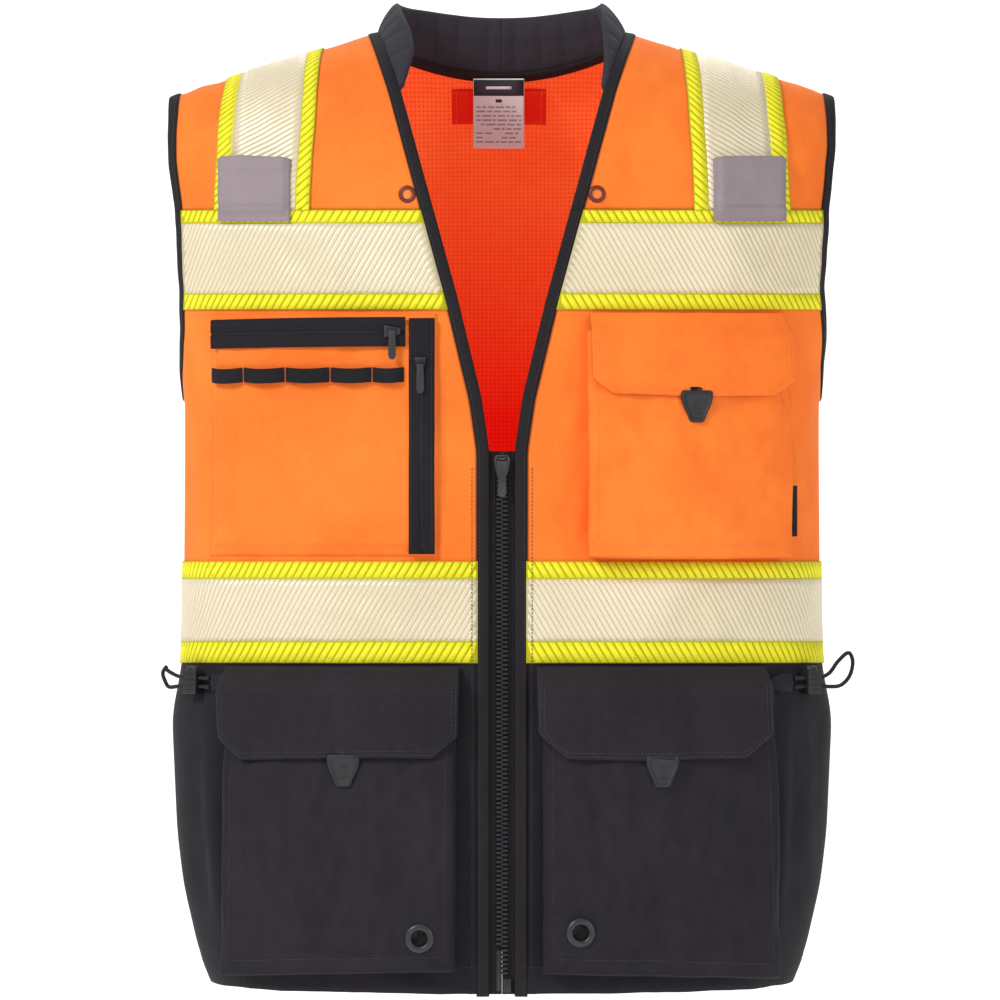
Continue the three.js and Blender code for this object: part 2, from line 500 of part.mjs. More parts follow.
// centre zip slider and pull: plates before and behind the teeth, joined by a thin wedge between the rows
{
  const plate = outline([[-3.2, -8], [3.2, -8], [4.6, -4], [6.2, 5], [4.4, 8], [-4.4, 8], [-6.2, 5], [-4.6, -4]]);
  const front = extrude(plate, 1.6), rear = extrude(plate, 1.4);
  const stand = (g, y) => g.rotateX(Math.PI / 2).translate(0, y, -337);
  stand(front, ZIP_Y - 1.4); stand(rear, ZIP_Y + 5.6);
  const wedge = new THREE.BoxGeometry(0.9, 8, 8).translate(0, ZIP_Y + 1.4, -333);
  const lug = new THREE.BoxGeometry(4.4, 3.2, 1.4).translate(0, ZIP_Y - 4.4, -331.9);
  const s = toSolid(front).add(toSolid(rear)).add(toSolid(wedge)).add(toSolid(lug));
  add('zip_slider', fromSolid(s), METAL);
  const tab = outline([[-3.6, 0], [3.6, 0], [3.6, -5], [2.6, -10], [3.4, -24], [2, -27], [-2, -27], [-3.4, -24], [-2.6, -10], [-3.6, -5]]);
  const pull = extrude(tab, 1.4).rotateX(Math.PI / 2).translate(0, ZIP_Y - 4.2, -333.4);
  add('zip_pull', pull, METAL);
}

// ---------------------------------------------------------------- wearer's right chest: zip pocket
const CHEST_W = 247.3;            // half width at chest pocket height
{
  const xo = -220, xi = -49;
  const zT = -223.2, zB = -404.6;
  const outer = shell(pocketGrid(xo, xi, zT, zB), LAYER_1, 4.6);
  const inner = shell(pocketGrid(xo + 2, xi - 2, zT - 2, zB + 2), LAYER_1 - 1, 3.3);
  add('right_chest_pocket', fromSolid(toSolid(outer).subtract(toSolid(inner))), ORANGE);

  // the top zip runs round the chest on a circular arc, so its slider turns about the arc's centre
  const W = halfWidth(-236);
  const p = [-216, -146, -78].map((x) => at(-1, x / W, -236).addScaledVector(normalAt(-1, x / W, -236), 7.2).setZ(0));
  const d = 2 * (p[0].x * (p[1].y - p[2].y) + p[1].x * (p[2].y - p[0].y) + p[2].x * (p[0].y - p[1].y));
  const q = p.map((v) => v.x * v.x + v.y * v.y);
  const centre = V((q[0] * (p[1].y - p[2].y) + q[1] * (p[2].y - p[0].y) + q[2] * (p[0].y - p[1].y)) / d,
    (q[0] * (p[2].x - p[1].x) + q[1] * (p[0].x - p[2].x) + q[2] * (p[1].x - p[0].x)) / d, 0);
  const R = centre.distanceTo(p[0]);
  const ang = (x) => Math.acos(clamp((x - centre.x) / R, -1, 1));
  const onArc = (x, z, off) => { const t = ang(x); return V(centre.x + (R + off) * Math.cos(t), centre.y - (R + off) * Math.sin(t), z); };
  const xs = [...Array(11).keys()].map((i) => lerp(-218, -74.5, i / 10));
  const zTape = [-226, -247];
  add('right_chest_top_zip', between(zTape.map((z) => xs.map((x) => onArc(x, z, -0.6))), zTape.map((z) => xs.map((x) => onArc(x, z, 0.6)))), BLACK);
  const sAt = onArc(-82, -236.5, 2.2), rad = sAt.clone().sub(centre).setZ(0).normalize();
  const body = outline([[-6, -4.5], [2, -3], [6, -2.2], [6, 2.2], [2, 3], [-6, 4.5]]);
  // slider with its short pull tab hanging from it
  const tabOn = (body) => {
    const t = outline([[-2.4, 1], [2.4, 1], [2.4, -5], [3, -18], [1.6, -21], [-1.6, -21], [-3, -18], [-2.4, -5]]);
    return fromSolid(toSolid(extrude(body, 2.2)).add(toSolid(extrude(t, 1.2).translate(0, 0, 2.0))));
  };
  add('right_chest_top_zip_slider', tabOn(body), METAL, facing(sAt.clone().addScaledVector(rad, -1.1), rad));

  // side zip down the inner edge of the pocket
  const g = pocketGrid(-69, -50.5, -227.8, -402.4);
  add('right_chest_side_zip', shell(g, 5.3, 6.5), BLACK);
  const sp = at(-1, -59.8 / CHEST_W, -262), sn = normalAt(-1, -59.8 / CHEST_W, -262);
  const body2 = outline([[-4.2, 6], [-2.6, -2], [-2, -6], [2, -6], [2.6, -2], [4.2, 6]]);
  add('right_chest_side_zip_slider', tabOn(body2), METAL, facing(sp.clone().addScaledVector(sn, 7.2), sn));

  // pen loops: one strip tacked down at four places and standing off between them
  const tacks = [-217, -193, -161.5, -128, -96.6, -73];
  const cols = [];
  for (let i = 0; i < tacks.length - 1; i++) for (const f of [0, 0.1, 0.3, 0.7, 0.9]) cols.push([lerp(tacks[i], tacks[i + 1], f), f]);
  cols.push([tacks[tacks.length - 1], 0]);
  const lift = cols.map(([, f]) => (f === 0 ? 0 : f === 0.1 || f === 0.9 ? 4 : 6.4));
  const strip = [-263, -274.4].map((z0) => cols.map(([x]) => at(-1, x / halfWidth(z0), z0)));
  add('right_chest_pen_loops', shell(strip, (i, j) => 5.2 + lift[j], (i, j) => 6.4 + lift[j]), BLACK);
}

// ---------------------------------------------------------------- bellows pockets with flaps
function bellows(name, flapName, sx, x0, x1, zFlap, zMouth, zBottom, flapX, flapBottom, eyelet) {
  const side = -1, lo = Math.min(sx * x0, sx * x1), hi = Math.max(sx * x0, sx * x1), e = 1.7;
  const outer = toSolid(shell(pocketGrid(lo, hi, zMouth, zBottom), LAYER_1, LAYER_1 + BAG_DEPTH));
  const inner = toSolid(shell(pocketGrid(lo + e, hi - e, zMouth + 6, zBottom + 1.8), LAYER_1 - 1, LAYER_1 + BAG_DEPTH - 1.5));
  let bag = outer.subtract(inner);
  if (eyelet) {
    const xi = sx * eyelet[0] / halfWidth(eyelet[1]), p = at(side, xi, eyelet[1]), n = normalAt(side, xi, eyelet[1]);
    const holder = new THREE.Object3D();
    facing(p.clone().addScaledVector(n, LAYER_1 + BAG_DEPTH), n)(holder); holder.updateMatrix();
    bag = bag.subtract(toSolid(new THREE.CylinderGeometry(6.6, 6.6, 12, 14).rotateX(Math.PI / 2).applyMatrix4(holder.matrix)));
    add(eyelet[2], ring(11, 6.1, 1.8, 18), BRASS, facing(p.clone().addScaledVector(n, LAYER_1 + BAG_DEPTH + 0.6), n));
  }
  add(name, fromSolid(bag), BLACK);

  const fl = Math.min(sx * flapX[0], sx * flapX[1]), fh = Math.max(sx * flapX[0], sx * flapX[1]);
  const cols = [...X_COLUMNS.slice(1).map((c) => -c).reverse(), ...X_COLUMNS].filter((c) => c > fl + 9 && c < fh - 9);
  cols.unshift(fl, fl + 7); cols.push(fh - 7, fh);
  const rows = [zFlap, zFlap - 9, lerp(zFlap - 9, flapBottom, 0.5), flapBottom];
  // the flap's lower corners are cut off
  const grid = rows.map((z0, i) => cols.map((x, j) => {
    const cut = i < 3 ? 0 : j === 0 || j === cols.length - 1 ? 20 : j === 1 || j === cols.length - 2 ? 6 : 0;
    return at(side, x / halfWidth(z0), z0 + cut);
  }));
  const D = LAYER_1 + BAG_DEPTH + 1.2;
  const dIn = [LAYER_1 + 0.6, D, D, D], dOut = [LAYER_1 + 3.2, D + 1.5, D + 1.5, D + 1.5];
  add(flapName, shell(grid, (i) => dIn[i], (i) => dOut[i]), name.includes('chest') ? ORANGE : BLACK);
}
bellows('left_chest_pocket', 'left_chest_flap', 1, 65, 210, -223, -243, -404, [66, 212], -284, null);
bellows('right_lower_pocket', 'right_lower_flap', -1, 36, 203, -488, -508, -713, [32, 208], -555.5, [60, -689, 'right_pocket_eyelet']);
bellows('left_lower_pocket', 'left_lower_flap', 1, 32, 201, -488, -508, -715, [26, 198], -556, [57.5, -685, 'left_pocket_eyelet']);

// pull tabs on the flaps
for (const [name, x, z] of [['left_chest_flap_pull', 142, -284], ['right_lower_flap_pull', -116, -555.5], ['left_lower_flap_pull', 117, -556]]) {
  const w = halfWidth(z), p = at(-1, x / w, z), n = normalAt(-1, x / w, z);
  n.z = 0; n.normalize();
  const tab = outline([[-11, 12], [11, 12], [11, -14], [6, -21], [0, -23], [-6, -21], [-11, -14]]);
  add(name, extrude(tab, 2), PLASTIC, facing(p.clone().addScaledVector(n, LAYER_1 + BAG_DEPTH + 1.2 + 1.5 + 1.0), n));
}

export default group;
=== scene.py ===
import json
import math
import bpy
import bmesh
import numpy as np
from mathutils import Vector, Matrix


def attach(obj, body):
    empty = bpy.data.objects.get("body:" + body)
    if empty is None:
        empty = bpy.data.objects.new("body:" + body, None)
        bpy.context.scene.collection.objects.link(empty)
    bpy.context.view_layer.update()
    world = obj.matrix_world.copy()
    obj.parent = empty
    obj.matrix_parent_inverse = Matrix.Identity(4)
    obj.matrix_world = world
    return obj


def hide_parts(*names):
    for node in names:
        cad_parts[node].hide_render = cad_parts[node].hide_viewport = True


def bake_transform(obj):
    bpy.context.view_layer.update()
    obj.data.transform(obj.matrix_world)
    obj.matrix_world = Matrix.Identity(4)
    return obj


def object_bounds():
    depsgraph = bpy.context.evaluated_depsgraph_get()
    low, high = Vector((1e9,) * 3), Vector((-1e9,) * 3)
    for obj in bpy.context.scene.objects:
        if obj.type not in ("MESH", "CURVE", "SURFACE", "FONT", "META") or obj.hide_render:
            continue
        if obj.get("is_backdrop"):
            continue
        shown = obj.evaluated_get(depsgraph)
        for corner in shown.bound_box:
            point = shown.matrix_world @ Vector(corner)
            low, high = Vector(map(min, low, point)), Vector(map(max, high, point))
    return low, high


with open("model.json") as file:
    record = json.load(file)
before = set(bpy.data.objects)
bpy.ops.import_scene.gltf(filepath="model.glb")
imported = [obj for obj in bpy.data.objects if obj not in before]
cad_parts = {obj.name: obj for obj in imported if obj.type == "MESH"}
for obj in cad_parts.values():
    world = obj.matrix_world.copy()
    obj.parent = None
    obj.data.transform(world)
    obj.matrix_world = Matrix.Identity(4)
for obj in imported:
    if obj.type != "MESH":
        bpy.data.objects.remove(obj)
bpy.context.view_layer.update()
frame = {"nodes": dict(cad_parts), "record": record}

scene = bpy.context.scene
scene.view_settings.view_transform = "Standard"

# ------------------------------------------------------------------ camera
cam_data = bpy.data.cameras.new("camera")
cam_data.sensor_width = 36.0
cam_data.lens = 128.4
cam_data.clip_end = 50
cam = bpy.data.objects.new("camera", cam_data)
cam.location = (-0.0015, -2.8, -0.3627)
cam.rotation_euler = (math.pi / 2, 0, 0)
scene.collection.objects.link(cam)
scene.camera = cam

# ------------------------------------------------------------------ the shared body surface, in millimetres
HALF_DEPTH, SQ, SHOULDER_R, SEAM_GAP = 125.0, 2.4, 122.0, 0.8
NECK_HW, NECK_BACK, TIP, DROP = 103.0, 70.0, 257.0, 48.0
Z_MID, DRAPE = -362.7, 0.0467
Z_SPLIT, Z_COLOUR, Z_HEM, HEM_RISE = -143.0, -447.0, -733.0, 12.0
Z_BAND, Z_WAIST = (-145.2, -220.2), (-408.5, -485.0)
ZIP_EDGE = 17.5
BAG = 18.0
HW_T = [[40, 274], [-100, 272], [-143, 268], [-205, 258], [-285, 247], [-330, 247], [-400, 247.5], [-447, 248],
        [-485, 249], [-524, 257], [-610, 253], [-650, 248], [-700, 236], [-733, 222]]
ARM_T = [[40, 0.9265], [-50, 0.9265], [-143, 0.918], [-205, 0.945], [-240, 0.972], [-265, 0.989], [-279, 0.998], [-285, 1]]
VN_T = [[40, 103], [0, 103], [-10, 99.5], [-20, 96], [-56, 84], [-138, 61.5], [-213, 41], [-288, 23], [-326, 17.5], [-900, 17.5]]


def smooth_table(rows, soften):
    a = np.array(rows, float)[::-1]
    z = np.arange(-900.0, 60.0, 1.0)
    v = np.interp(z, a[:, 0], a[:, 1])
    if soften:
        k = np.hanning(soften * 2 + 1)
        k /= k.sum()
        v = np.convolve(np.pad(v, soften, mode="edge"), k, mode="valid")
    return z, v


_HW, _ARM, _VN = smooth_table(HW_T, 22), smooth_table(ARM_T, 9), smooth_table(VN_T, 8)
hw = lambda z0: np.interp(z0, *_HW)
arm = lambda z0: np.interp(z0, *_ARM)
vneck = lambda z: np.interp(z, *_VN)
arm_x = lambda z0: arm(z0) * hw(z0)
plan = lambda xi: np.maximum(0, 1 - np.minimum(1, np.abs(xi)) ** SQ) ** (1 / SQ)
shoulder_z = lambda x: -DROP * np.clip((np.abs(x) - NECK_HW) / (TIP - NECK_HW), 0, 1.15)
z_of = lambda xi, z0: Z_MID + (z0 - Z_MID) * (1 + DRAPE * (1 - plan(xi)))
z0_of = lambda xi, z: Z_MID + (z - Z_MID) / (1 + DRAPE * (1 - plan(xi)))
sstep = lambda a, b, v: (lambda t: t * t * (3 - 2 * t))(np.clip((v - a) / (b - a), 0, 1))
mix = lambda a, b, t: a + (b - a) * t


def at(side, xi, z0):
    xi, z0 = np.broadcast_arrays(np.asarray(xi, float), np.asarray(z0, float))
    x, z = xi * hw(z0), z_of(xi, z0)
    s = np.clip((shoulder_z(x) - z) / SHOULDER_R, 0, 1)
    g = np.sqrt(np.maximum(0, 1 - (1 - s) ** 2))
    return np.stack([x, side * (SEAM_GAP + (HALF_DEPTH - SEAM_GAP) * plan(xi) * g), z], -1)


def len_of(x, z):
    drop = shoulder_z(x) - z
    return np.where(drop < SHOULDER_R, SHOULDER_R * np.arccos(np.clip(1 - drop / SHOULDER_R, -1, 1)),
                    SHOULDER_R * math.pi / 2 + drop - SHOULDER_R)


def z_at_len(x, ln):
    return np.where(ln < SHOULDER_R * math.pi / 2, shoulder_z(x) - SHOULDER_R * (1 - np.cos(ln / SHOULDER_R)),
                    shoulder_z(x) - SHOULDER_R - (ln - SHOULDER_R * math.pi / 2))


def over(side, r, c, z0_end, x_rule, top_len):
    r, c = np.broadcast_arrays(np.asarray(r, float), np.asarray(c, float))
    z0 = z = np.full(r.shape, -60.0)
    x = x_rule(z, z0, c)
    for _ in range(16):
        xi = np.clip(x / hw(z0), -1, 1)
        z = z_at_len(x, mix(top_len(x), len_of(x, z_of(xi, z0_end)), r))
        z0 = z0_of(xi, z)
        x = x_rule(z, z0, c)
    return at(side, x / hw(z0), z0)


# ------------------------------------------------------------------ seeded gradient noise, and the cloth's shared wrinkles
_rs = np.random.RandomState(11)
_perm = np.tile(_rs.permutation(256), 3)
_ga = _rs.rand(256) * 2 * math.pi
_gx, _gy = np.cos(_ga), np.sin(_ga)


def pn(x, y):
    x, y = np.broadcast_arrays(np.asarray(x, float), np.asarray(y, float))
    xi, yi = np.floor(x).astype(int), np.floor(y).astype(int)
    xf, yf = x - xi, y - yi

    def g(ix, iy, fx, fy):
        h = _perm[_perm[ix & 255] + (iy & 255)]
        return _gx[h] * fx + _gy[h] * fy

    u, v = xf ** 3 * (xf * (xf * 6 - 15) + 10), yf ** 3 * (yf * (yf * 6 - 15) + 10)
    a = mix(g(xi, yi, xf, yf), g(xi + 1, yi, xf - 1, yf), u)
    b = mix(g(xi, yi + 1, xf, yf - 1), g(xi + 1, yi + 1, xf - 1, yf - 1), u)
    return mix(a, b, v) * 1.5


def line_fold(x, z, p, q, width, amp):
    """A soft ridge along the line p-q, in millimetres."""
    px, pz, qx, qz = *p, *q
    dx, dz = qx - px, qz - pz
    ll = dx * dx + dz * dz
    t = ((x - px) * dx + (z - pz) * dz) / ll
    dist = ((x - px) * dz - (z - pz) * dx) / math.sqrt(ll)
    env = np.exp(-((t - 0.5) / 0.42) ** 4)
    return amp * env * np.exp(-(dist / width) ** 2)


FOLDS = [((-228, -495), (-214, -712), 5.5, 3.2), ((-214, -492), (-207, -715), 4.5, -3.0), ((220, -498), (206, -712), 5.0, 3.4),
         ((210, -560), (200, -715), 4.5, -2.6),
         ((-205, -345), (-120, -385), 9, 0.9), ((-60, -300), (-30, -400), 7, 1.2), ((-44, -250), (-34, -330), 6, 1.1),
         ((60, -270), (35, -400), 8, 1.3), ((48, -240), (40, -310), 6, 1.0), ((240, -250), (214, -400), 8, 1.5),
         ((-240, -240), (-226, -400), 8, 1.6), ((225, -330), (218, -405), 6, 1.2),
         ((-236, -60), (-170, -130), 11, 1.2), ((236, -60), (180, -128), 11, 1.2), ((-96, -30), (-78, -120), 9, 1.0),
         ((98, -30), (80, -120), 9, 1.0), ((-130, -20), (-118, -130), 10, 0.8), ((128, -25), (122, -130), 10, 0.9),
         ((-228, -352), (-216, -436), 7, 2.0), ((232, -356), (222, -440), 7, 1.8), ((-62, -256), (-48, -388), 6, 1.7), ((66, -330), (54, -402), 6, 1.5),
         ((-244, -62), (-226, -128), 8, 1.7), ((246, -60), (230, -130), 8, 1.6), ((-122, -24), (-96, -70), 8, 1.2), ((126, -22), (100, -74), 8, 1.3),
         ((-160, -436), (-138, -474), 7, 0.9), ((150, -430), (170, -474), 7, 0.9), ((-34, -486), (-30, -720), 6, -1.4), ((34, -486), (31, -722), 6, -1.4),
         ((-190, -420), (-60, -470), 10, 0.8), ((60, -430), (200, -470), 10, 0.8), ((-120, -715), (-40, -735), 8, 1.0)]


def wrinkle(side, P):
    x, z = P[..., 0], P[..., 2]
    o = 0 if side < 0 else 37.3
    w = 2.2 * pn(x / 74 + o, z / 120) + 1.6 * pn(x / 30 + 5 + o, z / 52 + 3) + 0.6 * pn(x / 12 + o, z / 19)
    low = sstep(-480, -540, z)
    w = w + low * (1.4 * pn(x / 22 + 20 + o, z / 95) + 0.8 * pn(x / 10 + o, z / 30 + 8))
    if side < 0:
        for f in FOLDS:
            w = w + line_fold(x, z, *f)
    flat = sstep(20, 52, np.abs(x)) if side < 0 else 1.0
    # the cloth lies flat under the cord locks
    calm = 1 - np.exp(-((np.abs(x) - 222) / 20) ** 4 - ((z + 502) / 16) ** 4) if side < 0 else 1.0
    # front and back keep to the same line at the side seam
    seam = np.where(z < -285, sstep(0.5, 17, hw(z) - np.abs(x)), 1.0)
    return w * flat * calm * seam * sstep(10, -45, z)


# ------------------------------------------------------------------ meshes
def grid_normals(G):
    n = np.cross(np.gradient(G, axis=1), np.gradient(G, axis=0))
    n /= np.linalg.norm(n, axis=2, keepdims=True) + 1e-12
    ref = np.stack([G[..., 0] * 0.35, G[..., 1], np.full(G.shape[:2], 30.0)], -1)
    s = np.where((n * ref).sum(-1) < 0, -1.0, 1.0)
    return n * s[..., None]


def free_normals(G):
    n = np.cross(np.gradient(G, axis=1), np.gradient(G, axis=0))
    return n / (np.linalg.norm(n, axis=2, keepdims=True) + 1e-12)


def add_mesh(name, V, F, mats, uv=None, fm=None, smooth=True, fix=True):
    me = bpy.data.meshes.new(name)
    me.from_pydata((np.asarray(V, float) / 1000.0).tolist(), [], [tuple(int(i) for i in f) for f in F])
    for m in mats if isinstance(mats, (list, tuple)) else [mats]:
        me.materials.append(m)
    if fm is not None:
        me.polygons.foreach_set("material_index", np.asarray(fm, np.int32))
    if uv is not None:
        layer = me.uv_layers.new(name="UVMap")
        li = np.empty(len(me.loops), np.int32)
        me.loops.foreach_get("vertex_index", li)
        layer.data.foreach_set("uv", (np.asarray(uv, np.float32) / 1000.0)[li].ravel())
    me.validate()
    if fix:
        bm = bmesh.new()
        bm.from_mesh(me)
        bmesh.ops.recalc_face_normals(bm, faces=bm.faces)
        bm.to_mesh(me)
        bm.free()
    me.polygons.foreach_set("use_smooth", np.full(len(me.polygons), smooth))
    me.update()
    ob = bpy.data.objects.new(name, me)
    scene.collection.objects.link(ob)
    return ob


def shell_arrays(O, I, skip=None):
    R, C, _ = O.shape
    idx = np.arange(R * C).reshape(R, C)
    a, b, c, d = idx[:-1, :-1], idx[:-1, 1:], idx[1:, 1:], idx[1:, :-1]
    Fo = np.stack([a, b, c, d], -1).reshape(-1, 4)
    Fi = np.stack([d, c, b, a], -1).reshape(-1, 4) + R * C
    if skip is not None:
        keepf = ~skip[:-1, :-1].ravel()
        Fo, Fi = Fo[keepf], Fi[keepf]
    loop = np.concatenate([idx[0, :], idx[1:, -1], idx[-1, -2::-1], idx[-2:0:-1, 0]])
    nxt = np.roll(loop, -1)
    Fr = np.stack([loop, nxt, nxt + R * C, loop + R * C], -1)
    return np.concatenate([O.reshape(-1, 3), I.reshape(-1, 3)]), np.concatenate([Fo, Fi, Fr])


def shell(name, G, N, d0, d1, mats, uv, fm=None, skip=None):
    d0, d1 = np.broadcast_to(d0, G.shape[:2]), np.broadcast_to(d1, G.shape[:2])
    O, I = G + N * d1[..., None], G + N * d0[..., None]
    V, F = shell_arrays(O, I, skip)
    u = np.concatenate([uv.reshape(-1, 2), uv.reshape(-1, 2)])
    return add_mesh(name, V, F, mats, u, fm)


def cloth(name, side, G, d0, d1, mats, uv=None, extra=0.0, N=None, skip=None, rim=0.0):
    """A closed layer of cloth on the surface grid G, moved by the shared wrinkles; its edges are a little thinner."""
    N = grid_normals(G) if N is None else N
    w = wrinkle(side, G) + extra
    uv = G[..., [0, 2]] if uv is None else uv
    thin = np.zeros(G.shape[:2])
    thin[[0, -1], :] = rim
    thin[:, [0, -1]] = rim
    return shell(name, G, N, d0 + w + thin, d1 + w - thin, mats, uv, skip=skip)


def join_arrays(parts):
    V, F, U, M, n = [], [], [], [], 0
    for p in parts:
        v, f, u, m = p
        V.append(v); U.append(u)
        F.extend([tuple(int(i) + n for i in q) for q in f])
        M.extend([m] * len(f) if np.isscalar(m) else list(m))
        n += len(v)
    return np.concatenate(V), F, np.concatenate(U), M


def frames(P, N):
    T = np.gradient(P, axis=0)
    T /= np.linalg.norm(T, axis=1, keepdims=True) + 1e-12
    B = np.cross(T, N)
    B /= np.linalg.norm(B, axis=1, keepdims=True) + 1e-12
    return T, B, np.cross(B, T)


def resample(P, step, *more):
    s = np.concatenate([[0], np.cumsum(np.linalg.norm(np.diff(P, axis=0), axis=1))])
    n = max(2, int(round(s[-1] / step)) + 1)
    t = np.linspace(0, s[-1], n)
    f = lambda A: np.stack([np.interp(t, s, A[:, k]) for k in range(A.shape[1])], -1)
    return (f(P), *[f(A) for A in more], t)


def sweep_arrays(P, B, N, prof, t, caps=True):
    """The closed profile prof (M x 2, along B and N) swept along P."""
    M = len(prof)
    V = (P[:, None, :] + B[:, None, :] * prof[None, :, 0:1] + N[:, None, :] * prof[None, :, 1:2]).reshape(-1, 3)
    per = np.concatenate([[0], np.cumsum(np.linalg.norm(np.diff(np.r_[prof, prof[:1]], axis=0), axis=1))])[:-1]
    U = np.stack([np.repeat(t, M), np.tile(per, len(P))], -1)
    F = []
    for i in range(len(P) - 1):
        for j in range(M):
            k = (j + 1) % M
            F.append((i * M + j, i * M + k, (i + 1) * M + k, (i + 1) * M + j))
    if caps:
        F.append(tuple(range(M - 1, -1, -1)))
        F.append(tuple((len(P) - 1) * M + j for j in range(M)))
    return V, F, U, 0


STITCH = {}


def stitch(group, P, N, mat, pitch=3.1, length=2.3, r=0.28, lift=0.12, closed=False):
    """A run of separate stitches along P, lying on the surface with normals N."""
    Q, M, t = resample(P, 0.8, N)[:3] if False else (lambda q: (q[0], q[1], q[2]))(resample(P, 0.8, N))
    total = t[-1]
    k = int(total // pitch)
    if k < 1:
        return
    c = (np.arange(k) + 0.5) * total / k
    f = lambda A, s: np.stack([np.interp(s, t, A[:, i]) for i in range(3)], -1)
    T, B, _ = frames(Q, M)
    prof = np.array([[-1, 0.0], [-0.6, 0.75], [0, 1], [0.6, 0.75], [1, 0.0]])
    for h, sc in ((-0.5, 0.35), (-0.2, 1.0), (0.2, 1.0), (0.5, 0.35)):
        pass
    st = [(-0.5, 0.3), (-0.28, 1.0), (0.28, 1.0), (0.5, 0.3)]
    cols = []
    for h, sc in st:
        p, b, n = f(Q, c + h * length), f(B, c), f(M, c)
        cols.append(p[:, None, :] + b[:, None, :] * (prof[None, :, 0:1] * r * sc) + n[:, None, :] * (prof[None, :, 1:2] * r * sc * 1.2 + lift - 0.1))
    V = np.stack(cols, 1)                     # k, 4, 5, 3
    base = np.arange(20).reshape(4, 5)
    fs = [(base[i, j], base[i, j + 1], base[i + 1, j + 1], base[i + 1, j]) for i in range(3) for j in range(4)]
    fs += [tuple(base[0, ::-1]), tuple(base[3, :])]
    F = [tuple(int(v) + 20 * q for v in face) for q in range(k) for face in fs]
    STITCH.setdefault(group, []).append((V.reshape(-1, 3), F, np.zeros((k * 20, 2)), mat))


# ------------------------------------------------------------------ materials
def srgb(h):
    h = h.lstrip("#")
    c = [int(h[i:i + 2], 16) / 255 for i in (0, 2, 4)]
    return tuple((v / 12.92 if v <= 0.04045 else ((v + 0.055) / 1.055) ** 2.4) for v in c) + (1.0,)


class Nodes:
    def __init__(self, name, rough=0.8, metallic=0.0, sheen=0.0, sheen_tint=None, spec=0.5, coat=0.0):
        self.m = bpy.data.materials.new(name)
        self.m.use_nodes = True
        self.t = self.m.node_tree
        self.b = self.t.nodes["Principled BSDF"]
        i = self.b.inputs
        i["Roughness"].default_value = rough
        i["Metallic"].default_value = metallic
        i["Sheen Weight"].default_value = sheen
        i["Sheen Roughness"].default_value = 0.5
        if sheen_tint:
            i["Sheen Tint"].default_value = sheen_tint
        i["Specular IOR Level"].default_value = spec
        i["Coat Weight"].default_value = coat
        self.uv = self.t.nodes.new("ShaderNodeTexCoord")

    def link(self, a, b):
        self.t.links.new(a, b)

    def math(self, op, a, b=None, c=None, clamp=False):
        n = self.t.nodes.new("ShaderNodeMath")
        n.operation = op
        n.use_clamp = clamp
        for k, v in enumerate((a, b, c)):
            if v is None:
                continue
            if isinstance(v, (int, float)):
                n.inputs[k].default_value = v
            else:
                self.link(v, n.inputs[k])
        return n.outputs[0]

    def split(self, socket):
        n = self.t.nodes.new("ShaderNodeSeparateXYZ")
        self.link(socket, n.inputs[0])
        return n.outputs

    def noise(self, scale, detail=3.0, rough=0.5, coords="Object", distort=0.0):
        n = self.t.nodes.new("ShaderNodeTexNoise")
        self.link(self.uv.outputs[coords], n.inputs["Vector"])
        n.inputs["Scale"].default_value = scale
        n.inputs["Detail"].default_value = detail
        n.inputs["Roughness"].default_value = rough
        n.inputs["Distortion"].default_value = distort
        return n.outputs["Fac"]

    def mix(self, fac, a, b):
        n = self.t.nodes.new("ShaderNodeMix")
        n.data_type = "RGBA"
        for s, v in ((n.inputs[0], fac), (n.inputs[6], a), (n.inputs[7], b)):
            if isinstance(v, (int, float)):
                s.default_value = v
            elif isinstance(v, tuple):
                s.default_value = v
            else:
                self.link(v, s)
        return n.outputs[2]

    def ramp(self, fac, lo, hi, a, b):
        n = self.t.nodes.new("ShaderNodeValToRGB")
        n.color_ramp.elements[0].position, n.color_ramp.elements[1].position = lo, hi
        n.color_ramp.elements[0].color, n.color_ramp.elements[1].color = a, b
        self.link(fac, n.inputs[0])
        return n.outputs[0]

    def bump(self, height, strength, distance):
        n = self.t.nodes.new("ShaderNodeBump")
        n.inputs["Strength"].default_value = strength
        n.inputs["Distance"].default_value = distance
        self.link(height, n.inputs["Height"])
        self.link(n.outputs[0], self.b.inputs["Normal"])

    def colour(self, c):
        if isinstance(c, tuple):
            self.b.inputs["Base Color"].default_value = c
        else:
            self.link(c, self.b.inputs["Base Color"])
        return self

    def wave(self, socket, period_mm, phase=0.0):
        return self.math("SINE", self.math("ADD", self.math("MULTIPLY", socket, 2 * math.pi * 1000 / period_mm), phase))


